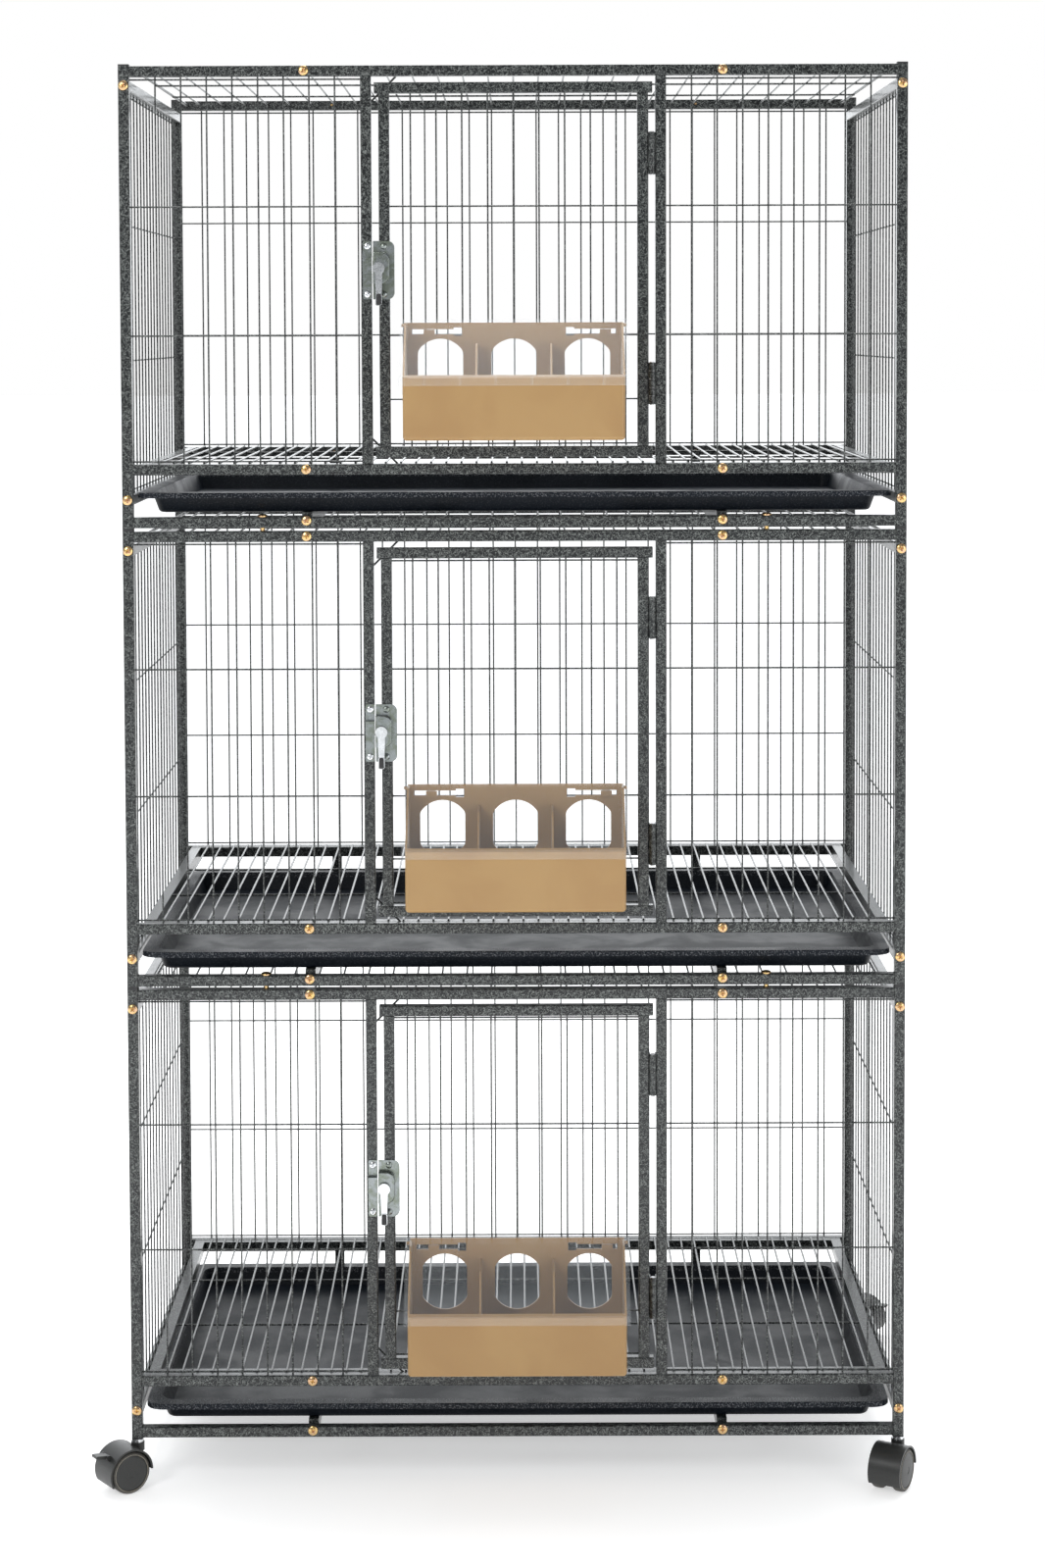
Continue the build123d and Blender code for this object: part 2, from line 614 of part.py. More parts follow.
def latch_lever():
    """Lever on a boss. Its shaft enters the housing and ends in a crank that drives the bolt."""
    boss_y = HOUSING_FACE_Y - 0.3
    crank_y = HOUSING_FACE_Y + HOUSING_WALL + 0.3
    pin_x = LEVER_X + CRANK_R * sin(radians(CRANK_ANGLE))
    pin_z = LEVER_Z + CRANK_R * cos(radians(CRANK_ANGLE))
    shaft_y = crank_y + CRANK_THICK
    wide, narrow = LEVER_HALF_WIDTHS
    tip_z = -LEVER_LENGTH
    with BuildPart() as lever:
        with BuildSketch(facing(LEVER_X, boss_y, LEVER_Z)):
            Circle(LEVER_BOSS[0])
        extrude(amount=LEVER_BOSS[1])
        with BuildSketch(facing(LEVER_X, boss_y - 0.5, LEVER_Z)):
            with BuildLine():
                Polyline((-wide, 0), (-narrow, tip_z), (narrow, tip_z), (wide, 0), close=True)
            make_face()
        extrude(amount=LEVER_THICK)
        with BuildSketch(facing(LEVER_X, boss_y - 0.1, LEVER_Z)):
            with Locations((0, tip_z + LEVER_TIP[1] / 2 - 1.0)):
                RectangleRounded(*LEVER_TIP, 2.5)
        extrude(amount=LEVER_THICK + 1.0)
        with BuildSketch(facing(LEVER_X, shaft_y, LEVER_Z)):
            Circle(LEVER_SHAFT_R)
        extrude(amount=shaft_y - boss_y)
        with BuildSketch(facing((LEVER_X + pin_x) / 2, shaft_y, (LEVER_Z + pin_z) / 2)):
            SlotCenterToCenter(CRANK_R, 2 * CRANK_PIN_R, rotation=90 - CRANK_ANGLE)
        extrude(amount=CRANK_THICK)
        with BuildSketch(facing(pin_x, BOLT_YS[1] - 0.4, pin_z)):
            Circle(CRANK_PIN_R)
        extrude(amount=BOLT_YS[1] - 0.4 - crank_y)
    return lever.part


def latch_bolt():
    """Sliding bolt with an upright slot for the lever's crank pin."""
    tip_x = LATCH_X[0] - 0.3
    tail_x = HOUSING_X[1] - HOUSING_WALL - 2.0
    pin_x = LEVER_X + CRANK_R * sin(radians(CRANK_ANGLE))
    height = BOLT_ZS[1] - BOLT_ZS[0]
    with BuildPart() as bolt:
        with Locations(((tip_x + tail_x) / 2, sum(BOLT_YS) / 2, sum(BOLT_ZS) / 2)):
            Box(tail_x - tip_x, BOLT_YS[1] - BOLT_YS[0], height)
        nose = bolt.edges().filter_by(Axis.Z).group_by(Axis.X)[0].sort_by(Axis.Y)[-1]
        chamfer(nose, length=1.5)
        with BuildSketch(facing(pin_x, BOLT_YS[1], LEVER_Z + CRANK_R * 0.93)):
            SlotOverall(3 * CRANK_PIN_R + 1.2, BOLT_SLOT, rotation=90)
        extrude(amount=BOLT_YS[1] - BOLT_YS[0], mode=Mode.SUBTRACT)
    return bolt.part


def latch_keeper():
    """Strap on the door post, raised in the middle over the thrown bolt."""
    x, width = sum(KEEPER_X) / 2, KEEPER_X[1] - KEEPER_X[0]
    low, high = BOLT_ZS[0] - 3.0, BOLT_ZS[1] + 3.0
    rise = KEEPER_WALL + 0.2 - BOLT_YS[0]
    with BuildPart() as keeper:
        with BuildSketch(facing(x, 0, LATCH_Z)):
            RectangleRounded(width, LATCH_HEIGHT, 2.5)
        extrude(amount=LATCH_PLATE)
        with Locations((x, -rise / 2, (low + high) / 2)):
            Box(width, rise, high - low)
        with Locations((x + 1.3, (KEEPER_WALL - rise) / 2, (low + high) / 2)):
            Box(width, rise - KEEPER_WALL, high - low - 2.6, mode=Mode.SUBTRACT)
        for z in keeper_screw_zs():
            with BuildSketch(facing(x, 0, z)):
                Circle((SMALL_SHANK[0] + HOLE_PLAY) / 2)
            extrude(amount=LATCH_PLATE, mode=Mode.SUBTRACT)
    return keeper.part


# ==== feeder ====


def feeder_outline(drop=0.0, inset=0.0):
    """Side view of the tub as (y, z) points, from the back foot round to the back top."""
    back, front = FEEDER_BACK_Y - inset, FEEDER_FRONT_Y + inset
    return [
        (back, FEEDER_BOTTOM_Z + inset),
        (front + 3.0, FEEDER_BOTTOM_Z + inset),
        (front, FEEDER_FRONT_Z - drop),
        (-FEEDER_FLAT, FEEDER_TOP_Z - 1.5 - drop),
        (back, FEEDER_TOP_Z - 1.5 - drop),
    ]


def feed_hole():
    """The outline of a feed hole, with straight sides and arched ends."""
    half, top = FEED_HOLE[0] / 2, FEED_HOLE[1] / 2
    spring = top - FEED_HOLE_RISE
    with BuildSketch() as hole:
        with BuildLine():
            Line((half, -spring), (half, spring))
            ThreePointArc((half, spring), (0, top), (-half, spring))
            Line((-half, spring), (-half, -spring))
            ThreePointArc((-half, -spring), (0, -top), (half, -spring))
        make_face()
        fillet(hole.vertices(), radius=FEED_HOLE_CORNER)
    return hole.sketch


def feeder_tub():
    """Three-compartment tub with feed holes through its back wall, hung by two hooks. Its side
    walls are cut away behind the pegs, where the back of the opening cover swings down."""
    side = Plane.YZ
    hole = feed_hole()
    pivot_y, pivot_z = COVER_PIVOT
    wall_y = FEEDER_BACK_Y - FEEDER_WALL
    inner_half = FEEDER_HALF_WIDTH - FEEDER_WALL
    cavity = feeder_outline(inset=FEEDER_WALL)
    cavity[2:] = [(FEEDER_FRONT_Y + FEEDER_WALL, FEEDER_TOP_Z + 20), (cavity[4][0], FEEDER_TOP_Z + 20)]
    with BuildPart() as tub:
        with BuildSketch(side.offset(-FEEDER_HALF_WIDTH)):
            with BuildLine():
                Polyline(*feeder_outline(), close=True)
            make_face()
        extrude(amount=2 * FEEDER_HALF_WIDTH)
        bottom = tub.faces().sort_by(Axis.Z)[0]
        front_corners = tub.faces().sort_by(Axis.Y)[0].edges().filter_by(Axis.X, reverse=True)
        fillet(bottom.edges() + front_corners, radius=FEEDER_CORNER)
        with BuildSketch(side.offset(-inner_half)):
            with BuildLine():
                Polyline(*cavity, close=True)
            make_face()
        extrude(amount=2 * inner_half, mode=Mode.SUBTRACT)
        for x in (-DIVIDER_X, DIVIDER_X):
            with BuildSketch(side.offset(x - DIVIDER_THICK / 2)):
                with BuildLine():
                    wall = feeder_outline(drop=4.0, inset=FEEDER_WALL)
                    slope = (wall[3][1] - wall[2][1]) / (wall[3][0] - wall[2][0])
                    knee_y = wall[2][0] + (DIVIDER_Z - wall[2][1]) / slope
                    Polyline(*wall[:3], (knee_y, DIVIDER_Z), (wall[4][0], DIVIDER_Z), close=True)
                make_face()
            extrude(amount=DIVIDER_THICK)
        back = Plane.XZ.offset(-FEEDER_BACK_Y - 1.0)
        with BuildSketch(back):
            with Locations((0, FEED_HOLE_Z)):
                with GridLocations(FEED_HOLE_PITCH, 1, 3, 1):
                    add(hole)
            for hand in (-1, 1):
                with Locations((hand * SLOT_X, HOOK_Z)):
                    Rectangle(*SLOT)
                with Locations((hand * (SLOT_X - SLOT_NOTCH_IN), HOOK_Z)):
                    Rectangle(SLOT_NOTCH, SLOT_NOTCH)
        extrude(amount=FEEDER_WALL + 2.0, mode=Mode.SUBTRACT)
        with BuildSketch(side.offset(-FEEDER_HALF_WIDTH)):
            with BuildLine():
                Polyline(
                    (wall_y, FEEDER_TOP_Z), (wall_y, pivot_z - 4.0), (pivot_y + COVER_ROOM, pivot_z - 4.0),
                    (pivot_y + COVER_ROOM, pivot_z - 0.5), (pivot_y + 0.5, FEEDER_TOP_Z), close=True,
                )
            make_face()
        extrude(amount=2 * FEEDER_HALF_WIDTH, mode=Mode.SUBTRACT)
        for x in (-1, 1):
            with Locations((x * (FEEDER_HALF_WIDTH + 2.0), *COVER_PIVOT)):
                Cylinder(COVER_PIVOT_R, 4.0, rotation=(0, 90, 0))
    hooks = []
    for x in HOOK_XS:
        with BuildPart() as hook:
            with Locations((x, wall_y - 1.5, HOOK_Z - 1.0)):
                Box(HOOK_WIDTH + 4, 3.0, 7.0)
            with Locations((x, (wall_y + HOOK_REACH_Y) / 2, HOOK_Z - 0.5)):
                Box(HOOK_WIDTH, HOOK_REACH_Y - wall_y, 4.0)
            with Locations((x, HOOK_REACH_Y - HOOK_THICK / 2, HOOK_Z + 1.5 - HOOK_DROP / 2)):
                Box(HOOK_WIDTH, HOOK_THICK, HOOK_DROP)
        hooks.append(hook.part)
    return group(tub.part, *hooks)


def feeder_cover():
    """Clear cover: a flat strip, a sloping pane, side wings on two pivots and a ribbed lip."""
    side = Plane.YZ
    top_z = FEEDER_TOP_Z + COVER_THICK
    back_y, knee_y, lip_y = -2.0, -FEEDER_FLAT - 1.0, FEEDER_FRONT_Y - 4.0
    foot_z = FEEDER_FRONT_Z + 3.0
    outer = [(back_y, top_z), (knee_y, top_z), (lip_y, foot_z), (lip_y, foot_z - COVER_LIP)]
    with BuildPart() as cover:
        with BuildSketch(side.offset(-COVER_HALF_WIDTH)):
            with BuildLine():
                Polyline(*outer)
                offset(amount=COVER_THICK, side=Side.LEFT)
            make_face()
        extrude(amount=2 * COVER_HALF_WIDTH)
        for start in (-COVER_HALF_WIDTH, COVER_HALF_WIDTH - COVER_THICK):
            with BuildSketch(side.offset(start)):
                with BuildLine():
                    Polyline(
                        *outer[:3], (lip_y, foot_z - COVER_LIP), (lip_y + 4.0, foot_z - COVER_LIP),
                        (knee_y, top_z - COVER_WING), (back_y - 8.0, top_z - COVER_WING),
                        (back_y, top_z - COVER_WING + 5.0), close=True,
                    )
                make_face()
                with Locations(COVER_PIVOT):
                    Circle(COVER_PIVOT_R + RUNNING_FIT, mode=Mode.SUBTRACT)
            extrude(amount=COVER_THICK)
        with Locations(*[(x, lip_y - 0.7, FEEDER_FRONT_Z - 2.5) for x in spaced(*COVER_RIBS)]):
            Box(2.0, 1.6, 9.0)
    return cover.part


# ==== fasteners and plugs ====


def placed_screws(screw, places, y, facing_back=False):
    """Copies of a screw on a face at y, with their heads out along -Y, or +Y on the back."""
    tilt = -90 if facing_back else 90
    return [screw.moved(Location((x, y, z), (tilt, 0, 0))) for x, z in places]


def frame_screws():
    """Every brass screw of one tier's frame, front and back, and the two of its keeper."""
    places = [(x, z) for x in (-POST_X, POST_X) for z in POST_SCREW_ZS]
    for z in (ROOF_SCREW_Z, FLOOR_SCREW_Z, RUNNER_SCREW_Z):
        places += [(-RUNNER_X, z), (RUNNER_X, z)]
    screw = domed_screw(SCREW_HEAD, SCREW_SHANK)
    small = domed_screw(SMALL_HEAD, SMALL_SHANK)
    keeper_places = [(sum(KEEPER_X) / 2, z) for z in keeper_screw_zs()]
    front = placed_screws(screw, places, 0)
    back = placed_screws(screw, places, DEPTH, facing_back=True)
    return group(*front, *back, *placed_screws(small, keeper_places, -LATCH_PLATE))


def stacking_bolts():
    """Four bolts down through an upper bottom rail (base at z = 0) into nuts in the rail below."""
    length = TUBE + 2 * PLUG_FLANGE + TUBE - TUBE_WALL - 0.5
    nut_top = -2 * PLUG_FLANGE - TUBE_WALL
    bolt = domed_screw(STACK_HEAD, (STACK_BOLT, length))
    with BuildPart() as nut:
        with BuildSketch():
            RegularPolygon(STACK_NUT[0] / 2, 6, major_radius=False)
            Circle(STACK_BOLT / 2, mode=Mode.SUBTRACT)
        extrude(amount=-STACK_NUT[1])
    pieces = []
    for x in (-STACK_X, STACK_X):
        for y in (MESH_Y, BACK_Y):
            pieces.append(bolt.moved(Location((x, y, TUBE))))
            pieces.append(nut.part.moved(Location((x, y, nut_top))))
    return group(*pieces)


def post_plug(length, bore_r):
    """Plastic end plug: its flange stands on the XY plane and its body goes down."""
    body = TUBE - 2 * TUBE_WALL
    with BuildPart() as plug:
        with BuildSketch():
            RectangleRounded(TUBE, TUBE, TUBE_CORNER)
        extrude(amount=PLUG_FLANGE)
        with BuildSketch():
            Rectangle(body, body)
        extrude(amount=-length)
        if bore_r:
            with BuildSketch(Plane.XY.offset(-length)):
                Circle(bore_r)
            extrude(amount=length + PLUG_FLANGE, mode=Mode.SUBTRACT)
    return plug.part


# ==== casters, drawn with the stem's axis on the Z axis and the wheel behind it along -X ====


def caster_hood():
    """Swivelling hood: a web between the wheels, a boss for the stem and a shroud over them,
    which comes down to the axle under the stem and further at the back."""
    centre = (-STEM_OFFSET, WHEEL_R)
    inner, outer = HOOD_RADII
    with BuildPart() as hood:
        with BuildSketch(Plane.XZ):
            with Locations(centre):
                Circle(outer)
                Circle(inner, mode=Mode.SUBTRACT)
            with Locations((centre[0], HOOD_BACK_Z - 20.0)):
                Rectangle(80, 40, mode=Mode.SUBTRACT)
            with Locations((centre[0] + 20.0, WHEEL_R - 20.0)):
                Rectangle(40, 40, mode=Mode.SUBTRACT)
        extrude(amount=HOOD_HALF_WIDTH, both=True)
        with BuildSketch(Plane.XZ):
            with Locations(centre):
                Circle(outer - 0.5)
            with Locations((centre[0], HOOD_BACK_Z - 20.0)):
                Rectangle(80, 40, mode=Mode.SUBTRACT)
        extrude(amount=WEB_HALF_WIDTH, both=True)
        with BuildSketch(Plane.XY.offset(HOOD_TOP_Z)):
            Circle(BOSS_R)
        extrude(amount=-BOSS_HEIGHT)
        with BuildSketch(Plane.XY.offset(HOOD_TOP_Z)):
            Circle(STEM_R + RUNNING_FIT)
        extrude(amount=-STEM_DEPTH - 1.0, mode=Mode.SUBTRACT)
        with BuildSketch(Plane.XZ):
            with Locations(centre):
                Circle(AXLE_R + RUNNING_FIT)
        extrude(amount=2 * WEB_HALF_WIDTH, both=True, mode=Mode.SUBTRACT)
    return hood.part


def brake_pivot():
    """Where the brake pedal turns, as (x, z)."""
    angle = radians(BRAKE_ANGLE)
    return (-STEM_OFFSET + BRAKE_R * cos(angle), WHEEL_R + BRAKE_R * sin(angle))


def braked_hood():
    """A caster hood with two ears that carry the brake pedal."""
    x, z = brake_pivot()
    with BuildPart() as hood:
        add(caster_hood())
        for hand in (-1, 1):
            with BuildSketch(Plane.XZ.offset(hand * BRAKE_EARS[0])):
                with Locations((x, z)):
                    SlotCenterPoint((0.8, -0.7), (0, 0), 6.0)
            extrude(amount=hand * (BRAKE_EARS[1] - BRAKE_EARS[0]))
        with BuildSketch(Plane.XZ):
            with Locations((x, z)):
                Circle(BRAKE_PIN_R + RUNNING_FIT)
        extrude(amount=10, both=True, mode=Mode.SUBTRACT)
    return hood.part


def brake_pedal():
    """Foot tab with its cross pin."""
    x, z = brake_pivot()
    with BuildPart() as pedal:
        with BuildSketch(Plane.XZ):
            with BuildLine():
                Polyline((x + 1.5, z - 1.4), (x + 1.5, z + 2.2), (x - 15.0, z + 4.5), (x - 15.5, z + 1.5),
                         (x - 2.0, z - 1.6), close=True)
            make_face()
        extrude(amount=PEDAL_HALF_WIDTH, both=True)
        with BuildSketch(Plane.XZ):
            with Locations((x, z)):
                Circle(BRAKE_PIN_R)
        extrude(amount=BRAKE_EARS[1], both=True)
    return pedal.part


def caster_wheels():
    """Two wheels on one axle."""
    near, far = WHEEL_YS
    width = far - near
    dish_inner, dish_outer, dish_depth = WHEEL_DISH
    with BuildPart() as wheel:
        with Locations((-STEM_OFFSET, (near + far) / 2, WHEEL_R)):
            Cylinder(WHEEL_R, width, rotation=(90, 0, 0))
        fillet(wheel.edges().filter_by(GeomType.CIRCLE), radius=2.5)
        with BuildSketch(Plane.XZ.offset(-far)):
            with Locations((-STEM_OFFSET, WHEEL_R)):
                Circle(dish_outer)
                Circle(dish_inner, mode=Mode.SUBTRACT)
        extrude(amount=dish_depth, taper=20, mode=Mode.SUBTRACT)
        with BuildSketch(Plane.XZ.offset(-near)):
            with Locations((-STEM_OFFSET, WHEEL_R)):
                Circle(AXLE_R)
        extrude(amount=-width, mode=Mode.SUBTRACT)
    with BuildPart() as axle:
        with Locations((-STEM_OFFSET, 0, WHEEL_R)):
            Cylinder(AXLE_R, 2 * far, rotation=(90, 0, 0))
    return group(wheel.part, wheel.part.mirror(Plane.XZ), axle.part)


def caster_stem():
    """Stem with a plated collar that stands under the post's plug."""
    with BuildPart() as stem:
        with BuildSketch(Plane.XY.offset(HOOD_TOP_Z - STEM_DEPTH)):
            Circle(STEM_R)
        extrude(amount=STEM_DEPTH + COLLAR_GAP + COLLAR[1] + PLUG_FLANGE + CASTER_PLUG_LENGTH - 2.0)
        with BuildSketch(Plane.XY.offset(HOOD_TOP_Z + COLLAR_GAP)):
            Circle(COLLAR[0])
        extrude(amount=COLLAR[1])
    return stem.part


# ==== assembly ====


def tier_pieces():
    """The pieces of one tier, standing on z = 0, by name."""
    return {
        "front_panel": front_panel(),
        "back_panel": back_panel(),
        "left_panel": side_panel(-POST_X),
        "right_panel": side_panel(POST_X),
        "roof_panel": roof_panel(),
        "floor_grille": floor_grille(),
        "door": door(),
        "door_hinge_leaves": door_hinge_leaves(),
        "latch_case": latch_case(),
        "latch_lever": latch_lever(),
        "latch_bolt": latch_bolt(),
        "tray": tray(),
        "feeder_tub": feeder_tub(),
        "feeder_cover": feeder_cover(),
    }


def plug_set():
    """Plugs in both ends of every post. The lowest four are bored for the caster stems."""
    top = post_plug(PLUG_LENGTH, 0)
    lowest = post_plug(CASTER_PLUG_LENGTH, STEM_R)
    plugs = []
    for base in TIERS.values():
        foot = lowest if base == BASE_Z else top
        for x in (-POST_X, POST_X):
            for y in (MESH_Y, BACK_Y):
                plugs.append(top.moved(Location((x, y, base + TIER_HEIGHT))))
                plugs.append(foot.moved(Location((x, y, base), (180, 0, 0))))
    return group(*plugs)


def on_tiers(piece, bases):
    """One node with a copy of a piece on each of the given bases."""
    return group(*[piece.moved(Location((0, 0, base))) for base in bases])


def assembly():
    """Every node of the cage by name, in place above the floor."""
    bases = list(TIERS.values())
    nodes = {}
    for name, piece in tier_pieces().items():
        for tier, base in TIERS.items():
            nodes[f"{tier}_{name}"] = piece.moved(Location((0, 0, base)))
    nodes["frame_hinge_leaves"] = on_tiers(frame_hinge_leaves(), bases)
    nodes["hinge_pins"] = on_tiers(hinge_pins(), bases)
    nodes["latch_keepers"] = on_tiers(latch_keeper(), bases)
    nodes["tray_runners"] = on_tiers(tray_runners(), bases)
    nodes["frame_screws"] = on_tiers(frame_screws(), bases)
    nodes["stacking_bolts"] = on_tiers(stacking_bolts(), bases[1:])
    nodes["post_plugs"] = plug_set()
    hoods = {True: braked_hood(), False: caster_hood()}
    wheels, pedal, stem = caster_wheels(), brake_pedal(), caster_stem()
    stems = []
    for corner, (x, y, turn) in CASTERS.items():
        place = Location((x, y, 0), (0, 0, turn))
        nodes[f"{corner}_caster_hood"] = hoods[corner in BRAKED].moved(place)
        nodes[f"{corner}_caster_wheels"] = wheels.moved(place)
        if corner in BRAKED:
            nodes[f"{corner}_brake_pedal"] = pedal.moved(place)
        stems.append(stem.moved(place))
    nodes["caster_stems"] = group(*stems)
    return nodes


nodes = assembly()
box = Compound(list(nodes.values())).bounding_box()
CENTRE = Location((-(box.min.X + box.max.X) / 2, -(box.min.Y + box.max.Y) / 2, 0))
os.makedirs("parts", exist_ok=True)
for name, shape in nodes.items():
    node = shape.moved(CENTRE)
    node.label = name
    export_step(node, f"parts/{name}.step", write_pcurves=False)
print(len(nodes), "nodes, size", box.size, "shift", CENTRE.position)
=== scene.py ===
"""The looks of a three-tier rolling small-animal cage: materials, detailed small pieces, studio
light and the camera. Metres, +Z up, the front facing -Y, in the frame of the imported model."""

import json
import math

import bmesh
import bpy
from mathutils import Matrix, Vector

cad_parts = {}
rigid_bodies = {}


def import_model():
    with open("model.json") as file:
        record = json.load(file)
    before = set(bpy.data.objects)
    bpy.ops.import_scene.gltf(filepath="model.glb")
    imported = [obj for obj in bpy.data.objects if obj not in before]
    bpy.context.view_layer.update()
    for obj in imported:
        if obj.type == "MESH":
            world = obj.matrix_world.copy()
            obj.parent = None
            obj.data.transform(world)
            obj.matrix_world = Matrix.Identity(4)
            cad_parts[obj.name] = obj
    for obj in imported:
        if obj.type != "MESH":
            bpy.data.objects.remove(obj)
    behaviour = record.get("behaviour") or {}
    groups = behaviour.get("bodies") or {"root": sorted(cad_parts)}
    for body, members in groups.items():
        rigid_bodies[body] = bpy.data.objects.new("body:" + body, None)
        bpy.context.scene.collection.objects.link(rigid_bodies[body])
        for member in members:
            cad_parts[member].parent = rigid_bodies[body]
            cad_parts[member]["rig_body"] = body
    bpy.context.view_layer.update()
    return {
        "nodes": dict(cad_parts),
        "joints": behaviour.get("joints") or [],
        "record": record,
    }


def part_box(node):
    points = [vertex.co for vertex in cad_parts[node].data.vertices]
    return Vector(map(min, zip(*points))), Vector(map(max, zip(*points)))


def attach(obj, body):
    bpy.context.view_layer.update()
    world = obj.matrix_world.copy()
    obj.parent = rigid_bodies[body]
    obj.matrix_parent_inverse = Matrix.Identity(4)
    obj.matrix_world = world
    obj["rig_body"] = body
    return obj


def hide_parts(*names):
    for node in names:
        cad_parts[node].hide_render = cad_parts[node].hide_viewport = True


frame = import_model()
NODES = frame["nodes"]
JOINTS = {joint["name"]: joint for joint in frame["joints"]}
BODY_OF = {node: obj["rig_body"] for node, obj in NODES.items()}
SLOT_OF = {row["node"]: row["material_slot"] for row in frame["record"]["subparts"]}
TIERS = ("lower", "middle", "upper")
CASTERS = ("front_left", "front_right", "rear_left", "rear_right")
MM = 0.001

# ==== the camera ====

CAMERA_HEIGHT = 1.376
CAMERA_DISTANCE = 3.47
CAMERA_X = 0.0058
CAMERA_LENS = 68.1
CAMERA_TILT = 3.0
CAMERA_ROLL = -0.2
CAMERA_SHIFT = (0.002, -0.19)


def make_camera():
    """A camera in front of the doors, above the middle, looking slightly down."""
    data = bpy.data.cameras.new("camera")
    data.lens = CAMERA_LENS
    data.shift_x, data.shift_y = CAMERA_SHIFT
    camera = bpy.data.objects.new("camera", data)
    bpy.context.collection.objects.link(camera)
    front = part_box("lower_front_panel")[0].y
    place = Matrix.Translation((CAMERA_X, front - CAMERA_DISTANCE, CAMERA_HEIGHT))
    tilt = Matrix.Rotation(math.radians(90 - CAMERA_TILT), 4, "X")
    camera.matrix_world = place @ tilt @ Matrix.Rotation(math.radians(CAMERA_ROLL), 4, "Z")
    bpy.context.scene.camera = camera


# ==== shader building blocks ====

MIX_FACTOR, MIX_FIRST, MIX_SECOND, MIX_COLOR = 0, 6, 7, 2


def new_material(name):
    """A material and its Principled shader."""
    material = bpy.data.materials.new(name)
    material.use_nodes = True
    return material, material.node_tree.nodes["Principled BSDF"]


def add_node(owner, kind, inputs=None, **settings):
    """A shader node of a material or world, with its settings. An input is a value or another
    node's output."""
    tree = owner.node_tree
    node = tree.nodes.new(kind)
    for key, value in settings.items():
        setattr(node, key, value)
    for key, value in (inputs or {}).items():
        if isinstance(value, bpy.types.NodeSocket):
            tree.links.new(value, node.inputs[key])
        else:
            node.inputs[key].default_value = value
    return node


def calculate(owner, operation, *values):
    """The result of a Math node."""
    return add_node(owner, "ShaderNodeMath", dict(enumerate(values)), operation=operation).outputs[0]


def noise(material, scale, detail=2.0, roughness=0.5, distortion=0.0):
    """Noise that is fixed to the object, with about scale features in a metre."""
    place = add_node(material, "ShaderNodeTexCoord").outputs["Object"]
    values = {"Vector": place, "Scale": scale, "Detail": detail, "Roughness": roughness,
              "Distortion": distortion}
    return add_node(material, "ShaderNodeTexNoise", values).outputs["Fac"]


def remap(material, value, low, high, to_low=0.0, to_high=1.0):
    """value taken from low..high to to_low..to_high, smoothly and without leaving it."""
    values = {"Value": value, "From Min": low, "From Max": high, "To Min": to_low, "To Max": to_high}
    return add_node(material, "ShaderNodeMapRange", values, interpolation_type="SMOOTHSTEP").outputs[0]


def blend_color(material, factor, first, second):
    """first where factor is 0, second where it is 1. Each is a colour or a node's output."""
    node = add_node(material, "ShaderNodeMix", data_type="RGBA")
    for index, value in ((MIX_FIRST, first), (MIX_SECOND, second)):
        if isinstance(value, bpy.types.NodeSocket):
            material.node_tree.links.new(value, node.inputs[index])
        else:
            node.inputs[index].default_value = (*value, 1.0)
    material.node_tree.links.new(factor, node.inputs[MIX_FACTOR])
    return node.outputs[MIX_COLOR]


def connect(material, output, shader, socket):
    material.node_tree.links.new(output, shader.inputs[socket])


def add_bump(material, shader, height, strength, distance):
    """Bump on the shader's normal from a height."""
    values = {"Height": height, "Strength": strength, "Distance": distance}
    connect(material, add_node(material, "ShaderNodeBump", values).outputs["Normal"], shader, "Normal")


# ==== light and floor ====

SCENE_MIDDLE = (0.0, 0.0, 0.85)
FLOOR_REACH = 60.0
FLOOR_ALBEDO = 0.90
FLOOR_GLOW = 0.50
# The surround's strength in front of the cage and behind it, and how fast it falls from back to front.
FRONT_STRENGTH = 0.24
BACK_STRENGTH = 2.4
FALLOFF = 3.0
SOFTBOXES = (
    {"name": "key_light", "place": (-2.0, -3.4, 2.8), "size": 1.4, "power": 58.0},
    {"name": "fill_light", "place": (2.6, -3.0, 1.4), "size": 1.6, "power": 24.0},
    {"name": "top_light", "place": (0.0, 0.9, 4.2), "size": 2.4, "power": 130.0},
)


def softbox(name, place, size, power):
    """A square area light at place, facing the cage."""
    data = bpy.data.lights.new(name, "AREA")
    data.size = size
    data.energy = power
    light = bpy.data.objects.new(name, data)
    bpy.context.collection.objects.link(light)
    light.location = place
    light.rotation_euler = (Vector(SCENE_MIDDLE) - Vector(place)).to_track_quat("-Z", "Y").to_euler()


